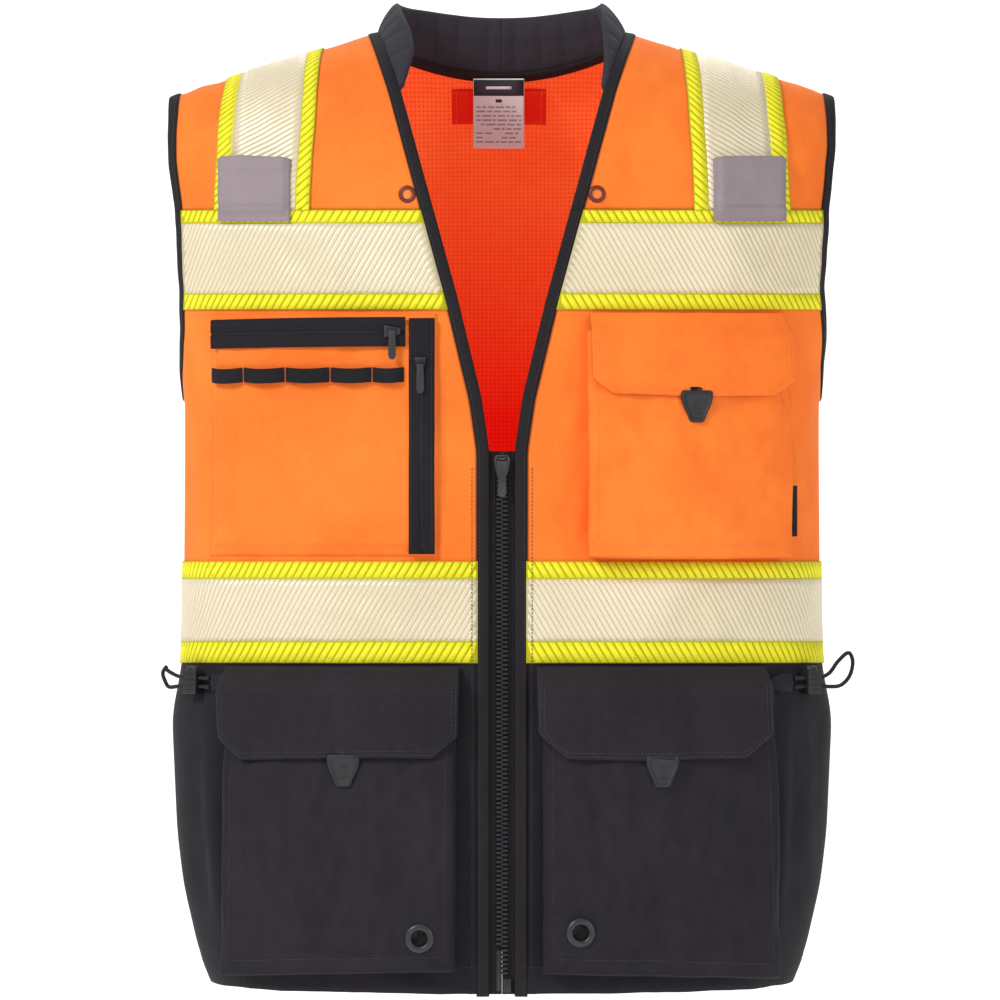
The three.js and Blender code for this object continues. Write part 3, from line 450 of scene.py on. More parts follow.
def woven(name, dark, mid, light, pitch=1.0, bump=0.35, rough=0.82, sheen=0.25, twill=False, depth=0.00018, crease=0.0, shade=None):
    """Cloth: warp and weft at the given pitch, slubs, and slow changes of tone."""
    n = Nodes(name, rough=rough, sheen=sheen, sheen_tint=srgb(light), spec=0.25)
    u, v, _ = n.split(n.uv.outputs["UV"])
    if twill:
        w = n.wave(n.math("ADD", u, n.math("MULTIPLY", v, 0.7)), pitch * 1.3)
        w = n.math("MULTIPLY_ADD", n.wave(u, pitch), 0.3, n.math("MULTIPLY", w, 0.7))
    else:
        w = n.math("MULTIPLY", n.wave(u, pitch), n.wave(v, pitch))
    slub = n.noise(420, 2, 0.6)
    tone = n.noise(14, 4, 0.6)
    h = n.math("MULTIPLY_ADD", slub, 0.9, n.math("MULTIPLY", w, 0.5))
    n.bump(h, bump, depth)
    c = n.ramp(tone, 0.32, 0.68, srgb(dark), srgb(mid))
    c = n.mix(n.math("MULTIPLY_ADD", w, 0.10, n.math("MULTIPLY", slub, 0.32), clamp=True), c, srgb(light))
    if crease:
        # painted shade darkens the creases and a painted highlight lightens the ridges, both read from the mesh's
        # pointiness
        g = n.t.nodes.new("ShaderNodeNewGeometry")
        pt = g.outputs["Pointiness"]
        # painted shade in the creases
        painted_crease_shade = n.ramp(pt, 0.478, 0.5, (1, 1, 1, 1), (0, 0, 0, 1))
        c = n.mix(n.math("MULTIPLY", painted_crease_shade, crease), c, srgb(shade or dark))
        # painted highlight on the ridges
        ridge = n.ramp(pt, 0.502, 0.53, (0, 0, 0, 1), (1, 1, 1, 1))
        c = n.mix(n.math("MULTIPLY", ridge, crease * 0.3), c, srgb(light))
    n.colour(c)
    n.m.diffuse_color = srgb(mid)
    return n.m


MAT = {}
MAT["orange"] = woven("orange_cloth", "#F06618", "#FA7C28", "#FF9644", pitch=0.9)
# the black cloths get painted shade in their creases (crease, shade) and a painted highlight on their ridges
MAT["black"] = woven("black_cloth", "#121014", "#1B181D", "#312D34", pitch=1.0, twill=True, sheen=0.08, bump=0.5, crease=0.28, shade="#060507")
MAT["black_bag"] = woven("black_bag_cloth", "#161318", "#201C22", "#38343C", pitch=1.0, twill=True, sheen=0.1, bump=0.5, crease=0.28, shade="#080609")
MAT["binding"] = woven("edge_binding", "#141114", "#1D191C", "#322D31", pitch=0.7, bump=0.5, sheen=0.1)
MAT["zip_tape"] = woven("zip_tape_cloth", "#0F0D11", "#17141A", "#28252B", pitch=0.6, bump=0.5, twill=True, sheen=0.05)
MAT["grey"] = woven("grey_webbing", "#85787E", "#928489", "#AAA0A4", pitch=1.6, bump=0.8, sheen=0.1, depth=0.0003)
MAT["label"] = woven("label_cloth", "#DAD7DA", "#EDEBEE", "#FFFFFF", pitch=0.5, bump=0.2, sheen=0.1)
MAT["patch"] = woven("neck_patch_cloth", "#FA1C0A", "#FF2E18", "#FF5A38", pitch=1.2, bump=0.5, sheen=0.1)
MAT["thread_orange"] = woven("thread_orange", "#F06A22", "#FF8A3C", "#FFA868", pitch=0.6, bump=0.4)
MAT["thread_black"] = woven("thread_black", "#2E2A30", "#3A363C", "#5E5962", pitch=0.6, bump=0.4)
MAT["thread_yellow"] = woven("thread_yellow", "#E2DC30", "#F4EE50", "#FFFA90", pitch=0.6, bump=0.4)
MAT["thread_grey"] = woven("thread_grey", "#8A7E82", "#9C9094", "#B6AAAE", pitch=0.6, bump=0.4)
MAT["yellow_ground"] = woven("yellow_tape_ground", "#A29C10", "#B4AE16", "#CCC62C", pitch=0.8, bump=0.4, rough=0.75)
MAT["yellow"] = woven("yellow_tape_cloth", "#E4DC12", "#EFE71E", "#FAF550", pitch=0.8, bump=0.4, rough=0.7)
MAT["cord"] = woven("elastic_cord", "#1B191D", "#29262B", "#48444B", pitch=1.1, bump=0.9, twill=True, depth=0.0004)


def mesh_fabric():
    n = Nodes("orange_mesh", rough=0.85, sheen=0.2, sheen_tint=srgb("#FF7040"), spec=0.2)
    u, v, _ = n.split(n.uv.outputs["UV"])
    p = n.math("ADD", n.wave(u, 3.4), n.wave(v, 3.4))
    hole = n.math("SMOOTH_MAX", n.math("MULTIPLY_ADD", p, 0.5, 0.0), 0.0, 0.2)
    hole = n.math("MULTIPLY", hole, 1.0, clamp=True)
    knit = n.math("MULTIPLY", n.wave(u, 0.65), n.wave(v, 0.65))
    h = n.math("MULTIPLY_ADD", hole, -1.0, n.math("MULTIPLY", knit, 0.15))
    n.bump(h, 0.8, 0.0007)
    _, _, oz = n.split(n.uv.outputs["Object"])
    low = n.math("MULTIPLY_ADD", oz, -5.2, -0.55, clamp=True)
    top = n.mix(n.noise(18, 3), srgb("#FF5A28"), srgb("#FF7A3C"))
    base = n.mix(low, top, srgb("#FF1A0C"))
    hc = n.mix(low, srgb("#F0401C"), srgb("#E00A06"))
    tint = n.mix(hole, base, hc)
    n.colour(tint)
    # partly fluorescent dye, partly painted light: the mesh glows in its own colour so that its shaded inside stays
    # bright
    n.link(tint, n.b.inputs["Emission Color"])
    n.b.inputs["Emission Strength"].default_value = 0.34
    return n.m


MAT["mesh"] = mesh_fabric()


def silver_tape():
    n = Nodes("reflective_tape", rough=0.38, metallic=0.15, sheen=0.0, spec=0.6, coat=0.12)
    n.b.inputs["Coat Roughness"].default_value = 0.3
    tone = n.noise(9, 3, 0.5)
    fine = n.noise(900, 2, 0.6)
    c = n.ramp(tone, 0.35, 0.7, srgb("#D8CAA8"), srgb("#E6D9BC"))
    n.colour(n.mix(n.math("MULTIPLY", fine, 0.35), c, srgb("#F4EAD0")))
    n.bump(fine, 0.25, 0.0001)
    return n.m


def cream_base():
    n = Nodes("tape_ground", rough=0.6, spec=0.4)
    u, v, _ = n.split(n.uv.outputs["UV"])
    w = n.math("MULTIPLY", n.wave(u, 0.8), n.wave(v, 0.8))
    tone = n.noise(12, 3)
    n.colour(n.mix(tone, srgb("#B9AC86"), srgb("#C8BC98")))
    n.bump(w, 0.3, 0.0002)
    return n.m


def hard(name, a, b, rough, metallic=0.0, scale=60, bump=0.15, coat=0.0, wear=None):
    n = Nodes(name, rough=rough, metallic=metallic, spec=0.5, coat=coat)
    t = n.noise(scale, 5, 0.62)
    c = n.mix(t, srgb(a), srgb(b))
    if wear:
        g = n.t.nodes.new("ShaderNodeNewGeometry")
        edge = n.ramp(g.outputs["Pointiness"], 0.5, 0.56, (0, 0, 0, 1), (1, 1, 1, 1))
        c = n.mix(edge, c, srgb(wear))
    n.colour(c)
    fine = n.noise(scale * 12, 3, 0.6)
    r = n.math("MULTIPLY_ADD", fine, 0.22, rough - 0.1, clamp=True)
    n.link(r, n.b.inputs["Roughness"])
    n.bump(fine, bump, 0.0001)
    return n.m


MAT["silver"] = silver_tape()
MAT["cream"] = cream_base()
MAT["plastic"] = hard("black_plastic", "#161518", "#232125", 0.42, scale=90)
MAT["teeth"] = hard("zip_teeth_plastic", "#19181B", "#262529", 0.36, scale=140)
MAT["rubber"] = hard("pull_rubber", "#1D1B1F", "#29272B", 0.62, scale=120, bump=0.35)
MAT["metal"] = hard("zip_metal", "#1C1B1D", "#2C2A2C", 0.38, metallic=0.5, scale=70, wear="#4C4A4A")
MAT["brass"] = hard("eyelet_brass", "#2E0E0C", "#461812", 0.42, metallic=0.2, scale=110, wear="#6E2C20")
MAT["dark_metal"] = hard("eyelet_black", "#121113", "#201F22", 0.38, metallic=0.4, scale=110, wear="#3E3C3E")
MAT["ink"] = hard("label_ink", "#26242A", "#34323A", 0.7, scale=200)
MAT["ink_grey"] = hard("label_ink_grey", "#8E8C94", "#A9A7AE", 0.7, scale=200)


def padded_cloth():
    n = Nodes("padded_collar", rough=0.85, sheen=0.25, sheen_tint=srgb("#6A6670"), spec=0.25)
    fine = n.noise(900, 3, 0.6)
    knit = n.noise(260, 2, 0.5)
    tone = n.noise(22, 3)
    c = n.mix(tone, srgb("#1B1A20"), srgb("#2A2930"))
    n.colour(n.mix(n.math("MULTIPLY", fine, 0.4), c, srgb("#4A4952")))
    n.bump(n.math("ADD", fine, knit), 0.5, 0.0003)
    return n.m


MAT["collar"] = padded_cloth()

# ------------------------------------------------------------------ who follows what
SIDES = ((-1, "right_"), (1, "left_"))
FRONT = {-1: "right_front", 1: "left_front"}


def yoke_blend(ob, sx):
    """Cloth above the split: only bakes its transform into the mesh."""
    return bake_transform(ob)


def side_blend(ob, sx):
    """Cloth of the opening front: only bakes its transform into the mesh."""
    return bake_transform(ob)


def edge_blend(ob, sx):
    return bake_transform(ob)


def done(ob, slot, *nodes):
    if nodes:
        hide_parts(*nodes)
    return ob


def flush_stitches():
    for (key, mover), parts in STITCH.items():
        mats, out = [], []
        for v, f, u, m in parts:
            if m not in mats:
                mats.append(m)
            out.append((v, f, u, mats.index(m)))
        V, F, U, M = join_arrays(out)
        ob = add_mesh(key + "_stitching", V, F, [MAT[m] for m in mats], U, M)
        if callable(mover):
            mover(ob)
        else:
            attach(ob, mover)


# ------------------------------------------------------------------ places on the surface
_th = np.linspace(0, math.pi / 2, 1500)
_sx, _sy = 250 * np.sin(_th) ** (2 / SQ), 125 * np.cos(_th) ** (2 / SQ)
_sl = np.concatenate([[0], np.cumsum(np.hypot(np.diff(_sx), np.diff(_sy)))])


def arc_cols(a, b, n):
    """n signed xi values from a to b, an equal way apart round the plan section."""
    f = lambda x: np.sign(x) * np.interp(abs(x), _sx / 250, _sl)
    s = np.linspace(f(a), f(b), n)
    return np.sign(s) * np.interp(np.abs(s), _sl, _sx / 250)


def SN(side, x, z0):
    """Points and outward normals at x and level z0."""
    x, z0 = np.broadcast_arrays(np.asarray(x, float), np.asarray(z0, float))
    e = 0.6
    h = hw(z0)
    P = at(side, x / h, z0)
    du = at(side, np.clip((x + e) / h, -1, 1), z0) - at(side, np.clip((x - e) / h, -1, 1), z0)
    dv = at(side, x / hw(z0 + e), z0 + e) - at(side, x / hw(z0 - e), z0 - e)
    n = np.cross(du, dv)
    n /= np.linalg.norm(n, axis=-1, keepdims=True) + 1e-12
    ref = np.stack([P[..., 0] * 0.7, P[..., 1], np.full(P.shape[:-1], 20.0)], -1)
    s = np.where((n * ref).sum(-1) < 0, -1.0, 1.0)
    return P, n * s[..., None]


def on(side, x, z0, d):
    P, N = SN(side, x, z0)
    return P + N * (np.asarray(d, float) + wrinkle(side, P))[..., None], N


def hem_level(xi):
    return Z_HEM + HEM_RISE * (1 - plan(xi))


# ------------------------------------------------------------------ back
def top_len(x):
    y = NECK_BACK * np.sqrt(np.maximum(0, 1 - (x / NECK_HW) ** 2))
    return np.where(np.abs(x) >= NECK_HW, 0, SHOULDER_R * np.arcsin(y / HALF_DEPTH))


cc = arc_cols(-1, 1, 117)
up = over(1, np.linspace(0, 1, 36)[:, None], cc[None, :], Z_SPLIT, lambda z, z0, c: c * arm_x(z0), top_len)
up[0, :, 1] = np.where(np.abs(up[0, :, 0]) >= NECK_HW, 0.0, up[0, :, 1])
zz = np.concatenate([np.linspace(Z_SPLIT, -285, 30)[1:], np.linspace(-285, Z_COLOUR, 34)[1:]])
lowp = at(1, cc[None, :] * arm(zz)[:, None], zz[:, None])
BACK = np.concatenate([up, lowp])
BACK_N = grid_normals(BACK)
ob = cloth("back_mesh_panel", 1, BACK, 0.0, 1.2, MAT["mesh"], N=BACK_N, rim=0.2)
done(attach(ob, "root"), "orange_mesh", "back_panel")

xi = arc_cols(-1, 1, 121)
rr = np.linspace(0, 1, 62)[:, None]
G = at(1, xi[None, :] + 0 * rr, mix(-446.0, hem_level(xi)[None, :], rr))
hemx = 0.5 * sstep(0.93, 0.94, rr) + 0 * G[..., 0]
ob = cloth("back_lower_cloth", 1, G, 0.0, 1.2, MAT["black"], extra=hemx, rim=0.2)
done(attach(ob, "root"), "black_cloth", "back_lower_panel")
P, N = G[57], grid_normals(G)[57]
stitch(("back", "root"), P + N * (1.7 + 0.5 + wrinkle(1, P))[:, None] - N * 0.5, N, "thread_black")


# ------------------------------------------------------------------ reflective tape
def tape(name, side, xin, xout, z_top, z_bot, sil_top, sil_bot, slot_nodes, mover, lean, step=3.0, d=1.75):
    """A two-colour tape along a level line: a woven ground with slanting raised bars."""
    zc = (z_top + z_bot) / 2
    lo, hi = min(xin(zc), xout(zc)), max(xin(zc), xout(zc))
    n = int((hi - lo) / step) + 2
    rows = np.linspace(z_top, z_bot, 22)
    c = np.linspace(0, 1, n)
    # columns close up towards a side seam
    A, Bx = xin(rows)[:, None], xout(rows)[:, None]
    fa, fb = np.clip(A / hw(rows)[:, None], -1, 1), np.clip(Bx / hw(rows)[:, None], -1, 1)
    g = lambda x: np.sign(x) * np.interp(np.abs(x), _sx / 250, _sl)
    s = mix(g(fa), g(fb), c[None, :])
    XI = np.sign(s) * np.interp(np.abs(s), _sl, _sx / 250)
    G = at(side, XI, rows[:, None] + 0 * XI)
    N = grid_normals(G)
    arc = np.concatenate([[0], np.cumsum(np.linalg.norm(np.diff(G[11], axis=0), axis=1))])
    uv = np.stack([np.tile(arc, (len(rows), 1)), np.tile((rows - zc)[:, None], (1, n))], -1)
    parts = []
    w = wrinkle(side, G)
    rim = np.zeros(G.shape[:2]); rim[[0, -1], :] = 0.25
    O, I = G + N * (d + 0.95 + w - rim)[..., None], G + N * (d - 0.25 + w)[..., None]
    V, F = shell_arrays(O, I)
    UU = np.concatenate([uv.reshape(-1, 2)] * 2)
    zface = rows[:-1]
    fmat = np.where((zface <= sil_top + 0.6) & (zface - (rows[0] - rows[1]) >= sil_bot - 0.6), 1, 0)
    fm = np.concatenate([np.repeat(fmat, n - 1)] * 2 + [np.zeros(len(F) - 2 * (len(rows) - 1) * (n - 1), int)])
    ob = add_mesh(name, V, F, [MAT["yellow_ground"], MAT["cream"]], UU, fm)
    done(ob, "reflective_tape", *slot_nodes)
    mover(ob)
    # bars: silver in the middle, yellow ribs on both edges
    T = math.tan(math.radians(30))
    pitch = 6.3
    sgn = 1 if A[0, 0] < Bx[0, 0] else -1
    ea, eb = (A.min(), Bx.max()) if sgn > 0 else (A.max(), Bx.min())
    cc = g(np.clip(np.array([ea, eb]) / hw(zc), -1, 1))
    cc = np.linspace(cc[0], cc[1], 600)
    xc_ = np.sign(cc) * np.interp(np.abs(cc), _sl, _sx / 250)
    Pc_ = at(side, xc_, zc + 0 * xc_)
    xs_c, arc_c = Pc_[:, 0], np.concatenate([[0], np.cumsum(np.linalg.norm(np.diff(Pc_, axis=0), axis=1))])
    total = arc_c[-1]
    reach = abs(z_top - z_bot) / 2 * T
    bars = []
    for pitch, bands in ((4.5, ((sil_top, sil_bot, 3.75, 0.34, 0),)), (6.1, ((z_top - 0.7, sil_top + 0.9, 4.5, 0.5, 1), (sil_bot - 0.9, z_bot + 0.7, 4.5, 0.5, 1)))):
      for k in range(int(-reach / pitch) - 1, int((total + reach) / pitch) + 2):
        for (zt, zb, wd, hgt, m) in bands:
            zr = np.linspace(zt, zb, max(3, int(abs(zt - zb) / 5) + 1))
            u0 = k * pitch + sgn * lean * (zr - zc) * T
            ua, ub = np.clip(u0 - wd / 2, 0, total), np.clip(u0 + wd / 2, 0, total)
            xa, xb = np.interp(ua, arc_c, xs_c), np.interp(ub, arc_c, xs_c)
            e0, e1 = xin(zr) + 0.9 * sgn, xout(zr) - 0.9 * sgn
            lo_, hi_ = np.minimum(e0, e1), np.maximum(e0, e1)
            xa, xb = np.clip(xa, lo_, hi_), np.clip(xb, lo_, hi_)
            ok = np.abs(xb - xa) > 0.5
            if ok.sum() < 2:
                continue
            zr, xa, xb = zr[ok], xa[ok], xb[ok]
            X = np.stack([xa, mix(xa, xb, 0.12), mix(xa, xb, 0.88), xb], 1)
            Z = np.repeat(zr[:, None], 4, 1)
            h = np.tile(np.array([0.0, hgt, hgt, 0.0]), (len(zr), 1))
            h[[0, -1]] *= 0.25
            Po, Nn = on(side, X, Z, 0)
            O, I = Po + Nn * (d + 0.93 + h)[..., None], Po + Nn * (d + 0.6)
            V, F = shell_arrays(O, I)
            U = np.stack([k * pitch + 0 * Z, Z], -1).reshape(-1, 2)
            bars.append((V, F, np.concatenate([U, U]), m))
    V, F, U, M = join_arrays(bars)
    ob = add_mesh(name + "_bars", V, F, [MAT["silver"], MAT["yellow"]], U, M)
    mover(ob)


ride_root = lambda o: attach(o, "root")
tape("back_chest_tape", 1, lambda z: -(arm_x(z) - 0.8), lambda z: arm_x(z) - 0.8, *Z_BAND, -155.4, -207.8, ["back_chest_band"], ride_root, 1)
tape("back_waist_tape", 1, lambda z: -0.9995 * hw(z), lambda z: 0.9995 * hw(z), *Z_WAIST, -422, -468.5, ["back_waist_band"], ride_root, 1)

for sx, S in SIDES:
    body = FRONT[sx]
    ride_front = lambda o, b=body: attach(o, b)
    yb = lambda o, s=sx: yoke_blend(o, s)
    sb = lambda o, s=sx: side_blend(o, s)
    eb = lambda o, s=sx: edge_blend(o, s)

    # ---- yoke
    c = np.linspace(0, 1, 60)[None, :]
    r = np.linspace(0, 1, 50)[:, None]
    Y = over(-1, r, c, Z_SPLIT - 3, lambda z, z0, c: sx * mix(vneck(z), arm_x(z0), c), lambda x: 0 * x)
    Y[0, :, 1] = 0.0
    YN = grid_normals(Y)
    ob = cloth(S + "yoke_cloth", -1, Y, 0.0, 1.2, MAT["orange"], N=YN, rim=0.15)
    done(yb(ob), "orange_cloth", S + "yoke")

    # ---- upper front
    zr = np.linspace(-146.0, Z_COLOUR, 80)
    cj = 1 - (1 - np.linspace(0, 1, 66)) ** 1.25
    F_G = at(-1, sx * mix(vneck(zr)[:, None], arm_x(zr)[:, None], cj[None, :]) / hw(zr)[:, None], zr[:, None] + 0 * cj[None, :])
    F_N = grid_normals(F_G)
    ob = cloth(S + "front_cloth", -1, F_G, 0.0, 1.2, MAT["orange"], N=F_N, rim=0.15)
    done(sb(ob), "orange_cloth", S + "front_panel")

    # ---- lower front
    xi = arc_cols(sx * ZIP_EDGE / 249, sx, 76)
    rr = np.linspace(0, 1, 74)[:, None]
    L_G = at(-1, xi[None, :] + 0 * rr, mix(-446.0, hem_level(xi)[None, :], rr))
    L_N = grid_normals(L_G)
    hemx = 0.5 * sstep(0.93, 0.94, rr) + 0 * L_G[..., 0]
    ob = cloth(S + "front_lower_cloth", -1, L_G, 0.0, 1.2, MAT["black"], N=L_N, extra=hemx, rim=0.15)
    done(sb(ob), "black_cloth", S + "front_lower_panel")
    P, N = L_G[68], L_N[68]
    stitch((S + "hem", sb), P + N * (1.25 + wrinkle(-1, P))[:, None], N, "thread_black")

    # ---- tapes
    tape(S + "chest_tape", -1, lambda z: sx * (vneck(z) + 1.2), lambda z: sx * (arm_x(z) - 0.8), *Z_BAND, -155.4, -207.8,
         [S + "chest_band"], sb, -sx)
    tape(S + "waist_tape", -1, lambda z: sx * (ZIP_EDGE + 0.6) + 0 * z, lambda z: sx * 0.9995 * hw(z), *Z_WAIST, -422, -468.5,
         [S + "waist_band"], sb, -sx)

    # ---- shoulder straps, front half and back half
    for half, side, zend in (("front", -1, Z_SPLIT - 3), ("back", 1, Z_SPLIT - 3)):
        cs = np.linspace(0, 1, 21)
        strap_x = lambda z, z0, c: sx * (mix(144, 218, c) - 6 * np.clip((Z_SPLIT - z) / Z_SPLIT, 0, 1))
        G = over(side, np.linspace(0, 1, 52)[:, None], cs[None, :], zend, strap_x, lambda x: 0 * x)
        G[0, :, 1] = 0.0
        N = grid_normals(G)
        if half == "front":
            N[0] = N[1]
        sl = np.concatenate([[0], np.cumsum(np.linalg.norm(np.diff(G[:, 10], axis=0), axis=1))])
        uv = np.stack([np.tile((cs * 74)[None, :], (52, 1)), np.tile(sl[:, None], (1, 21))], -1)
        w = wrinkle(side, G)
        O, I = G + N * (2.7 + w)[..., None], G + N * (1.5 + w)[..., None]
        V, F = shell_arrays(O, I)
        cf = (cs[:-1] * 74 >= 11) & (cs[:-1] * 74 < 61)
        fmat = np.tile(np.where(cf, 1, 0), 51)
        fm = np.concatenate([fmat, fmat, np.zeros(len(F) - 2 * len(fmat), int)])
        ob = add_mesh(S + "strap_" + half, V, F, [MAT["yellow_ground"], MAT["cream"]], np.concatenate([uv.reshape(-1, 2)] * 2), fm)
        done(ob, "reflective_tape", S + "shoulder_strap")
        (yb if half == "front" else ride_root)(ob)
        # bars lie across the strap, slanting
        total, bars = sl[-1], []
        pick = lambda A, ss, vv: np.stack([_bil(A[..., q], ss, vv) for q in range(3)], -1)

        def _bil(A, ss, vv):
            fi = np.clip(np.interp(ss, sl, np.arange(52)), 0, 50.999)
            fj = np.clip(vv / 74 * 20, 0, 19.999)
            i, j = fi.astype(int), fj.astype(int)
            a, b = fi - i, fj - j
            return (A[i, j] * (1 - a) * (1 - b) + A[i + 1, j] * a * (1 - b) + A[i, j + 1] * (1 - a) * b + A[i + 1, j + 1] * a * b)

        T = math.tan(math.radians(27))
        for pt, bands in ((4.5, ((11.4, 60.6, 3.75, 0.34, 0),)), (6.1, ((0.7, 10.6, 4.5, 0.5, 1), (61.4, 73.3, 4.5, 0.5, 1)))):
          for k in range(-12, int(total / pt) + 12):
            for (va, vb, wd, hgt, m) in bands:
                vv = np.linspace(va, vb, max(3, int((vb - va) / 5) + 1))
                s0 = k * pt + (1 if half == "front" else -1) * (vv - 37) * T * (1.5 if m else 1.0)
                sa, sb_ = np.clip(s0 - wd / 2, 0, total - 0.4), np.clip(s0 + wd / 2, 0, total - 0.4)
                ok = (sb_ - sa) > 0.5
                if ok.sum() < 2:
                    continue
                vv, sa, sb_ = vv[ok], sa[ok], sb_[ok]
                SS = np.stack([sa, mix(sa, sb_, 0.12), mix(sa, sb_, 0.88), sb_], 1)
                VV = np.repeat(vv[:, None], 4, 1)
                h = np.tile(np.array([0.0, hgt, hgt, 0.0]), (len(vv), 1))
                h[[0, -1]] *= 0.25
                Pp, Nn = pick(G, SS, VV), pick(N, SS, VV)
                Nn /= np.linalg.norm(Nn, axis=-1, keepdims=True)
                w = wrinkle(side, Pp)
                O, I = Pp + Nn * (2.68 + h + w)[..., None], Pp + Nn * (2.35 + w)[..., None]
                V, F = shell_arrays(O, I)
                U = np.stack([VV, SS], -1).reshape(-1, 2)
                bars.append((V, F, np.concatenate([U, U]), m))
        V, F, U, M = join_arrays(bars)
        ob = add_mesh(S + "strap_" + half + "_bars", V, F, [MAT["silver"], MAT["yellow"]], U, M)
        (yb if half == "front" else ride_root)(ob)

    # ---- bindings
    BIND = np.array([(-1.6, -0.75), (-1.6, 2.1), (0.6, 2.45), (3.4, 2.35), (6.2, 2.15), (7.6, 1.6), (8.05, 0.6), (7.6, -0.4), (6.2, -0.95), (3.4, -1.15), (0.6, -1.1)])

    def binding(name, P, N, away, nodes, mover, stitch_key, trim=None):
        P = P + N * wrinkle(-1 if P[:, 1].mean() < 0 else 1, P)[:, None] if trim is None else P
        Q, M, t = resample(P, 2.6, N)
        M /= np.linalg.norm(M, axis=1, keepdims=True)
        T, B, NN = frames(Q, M)
        sg = np.sign((B * (Q - away(Q))).sum(1))
        sg[sg == 0] = 1
        B = B * sg[:, None]
        ripple = 1 + 0.05 * pn(t / 9, t * 0 + len(name))[:, None]
        V, F, U, m = sweep_arrays(Q, B, M, BIND, t)
        ob = add_mesh(name, V, F, MAT["binding"], U)
        done(ob, "edge_binding", *nodes)
        mover(ob)
        stitch((stitch_key, mover), Q + B * 0.9 + M * 2.4, M, "thread_black", pitch=3.0, length=2.1, r=0.25)
        return ob

    neck_away = lambda Q: Q + np.array([sx * 40.0, 0, 0])
    v, vn = Y[:, 0], YN[:, 0]
    k = 0
    vn = vn.copy(); vn[0] = vn[1]
    binding(S + "neck_edge_upper", v[k:], vn[k:], neck_away, [S + "neck_binding_upper"], yb, S + "neck")
    n_bot = int(np.argmax(F_G[:, 0, 2] < -330))
    zl = np.linspace(-146, -735.0, 190)
    Pv, Nv = SN(-1, sx * vneck(zl), zl)
    binding(S + "neck_edge_lower", Pv, Nv, neck_away, [S + "neck_binding_lower"], ride_front, S + "front_edge")
    a_away = lambda Q: np.stack([0 * Q[:, 0], Q[:, 1] * 2.2, np.where(Q[:, 2] < -240, Q[:, 2] - 400, Q[:, 2] - 20)], -1)
    v, vn = Y[:, -1], YN[:, -1]
    vn = vn.copy(); vn[0] = vn[1]
    binding(S + "arm_edge_front_upper", v, vn, a_away, [S + "armhole_binding"], yb, S + "arm_u")
    kk = int(np.argmax(zr < -285)) + 1
    binding(S + "arm_edge_front_lower", F_G[:kk, -1], F_N[:kk, -1], a_away, [S + "armhole_binding_front"], sb, S + "arm_l")
    j = -1 if sx > 0 else 0
    rows_b = 36 + 29
    bn = BACK_N[:rows_b, j].copy(); bn[0] = bn[1]
    binding(S + "arm_edge_back", BACK[:rows_b, j], bn, a_away, [S + "armhole_binding"], ride_root, S + "arm_b")

    # the side seam, a narrow closed edge that joins front and back
    for nm, za, zb_, mt, sl in (("side_seam_upper", -287.0, -447.0, MAT["orange"], "orange_cloth"),
                                ("side_seam_lower", -447.0, float(np.asarray(hem_level(np.array([1.0])))[0]) + 2.0, MAT["black"], "black_cloth")):
        zq = np.linspace(za, zb_, 90)
        Ps = at(-1, sx + 0 * zq, zq)
        Ns = np.zeros_like(Ps) + np.array([sx * 1.0, 0, 0])
        Ts, Bs, _ = frames(Ps, Ns)
        rg = np.array([(1.4 * math.cos(a), 1.1 * math.sin(a)) for a in np.arange(10) * math.pi / 5])
        V, F, U, _ = sweep_arrays(Ps, Bs, Ns, rg, -zq)
        ob = add_mesh(S + nm, V, F, mt, U)
        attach(ob, "root")

# ------------------------------------------------------------------ collar: a padded stand with sewn channels
_lower = [[0, 70, -21], [26, 67.8, -19.6], [50, 61.2, -15.5], [73, 49.6, -10], [89, 34, -4.8], [97, 15.5, -1],
          [97, -4, 0], [95.5, -25, -3], [92.5, -49, -10.5], [89.5, -67, -20], [85, -84, -35], [79.5, -99.5, -53]]
_upper = {-1: [[0, 60, 22.5], [22, 58.4, 23], [42, 53, 24.5], [60, 44, 26], [73, 31.5, 26.3], [80, 16, 26.5],
               [82.5, -2, 26], [80, -22, 20], [75.5, -44, 9], [70, -65, -7], [68.5, -83, -24], [74.5, -99.5, -47]],
          1: [[0, 60, 22.5], [22, 58.4, 23], [42, 53, 24.5], [60, 44, 26], [72, 31.5, 26.3], [77.5, 16, 27],
              [78.5, -2, 26], [78.5, -22, 20], [78, -44, 8], [78.5, -64, -9], [78.5, -82, -27], [76, -99, -49]]}


def spline(P, n):
    P = np.array(P, float)
    d = np.concatenate([[0], np.cumsum(np.linalg.norm(np.diff(P, axis=0), axis=1) ** 0.5)])
    t = np.linspace(0, d[-1], n)
    out = []
    for v in t:
        i = min(len(P) - 2, max(0, int(np.searchsorted(d, v, side="right") - 1)))
        p1, p2 = P[i], P[i + 1]
        p0 = P[i - 1] if i > 0 else 2 * p1 - p2
        p3 = P[i + 2] if i + 2 < len(P) else 2 * p2 - p1
        t0 = d[i] - (d[i] - d[i - 1] if i > 0 else d[i + 1] - d[i])
        t1, t2 = d[i], d[i + 1]
        t3 = d[i + 2] if i + 2 < len(P) else 2 * t2 - t1
        a1 = (t1 - v) / (t1 - t0) * p0 + (v - t0) / (t1 - t0) * p1
        a2 = (t2 - v) / (t2 - t1) * p1 + (v - t1) / (t2 - t1) * p2
        a3 = (t3 - v) / (t3 - t2) * p2 + (v - t2) / (t3 - t2) * p3
        b1 = (t2 - v) / (t2 - t0) * a1 + (v - t0) / (t2 - t0) * a2
        b2 = (t3 - v) / (t3 - t1) * a2 + (v - t1) / (t3 - t1) * a3
        out.append((t2 - v) / (t2 - t1) * b1 + (v - t1) / (t2 - t1) * b2)
    return np.array(out)


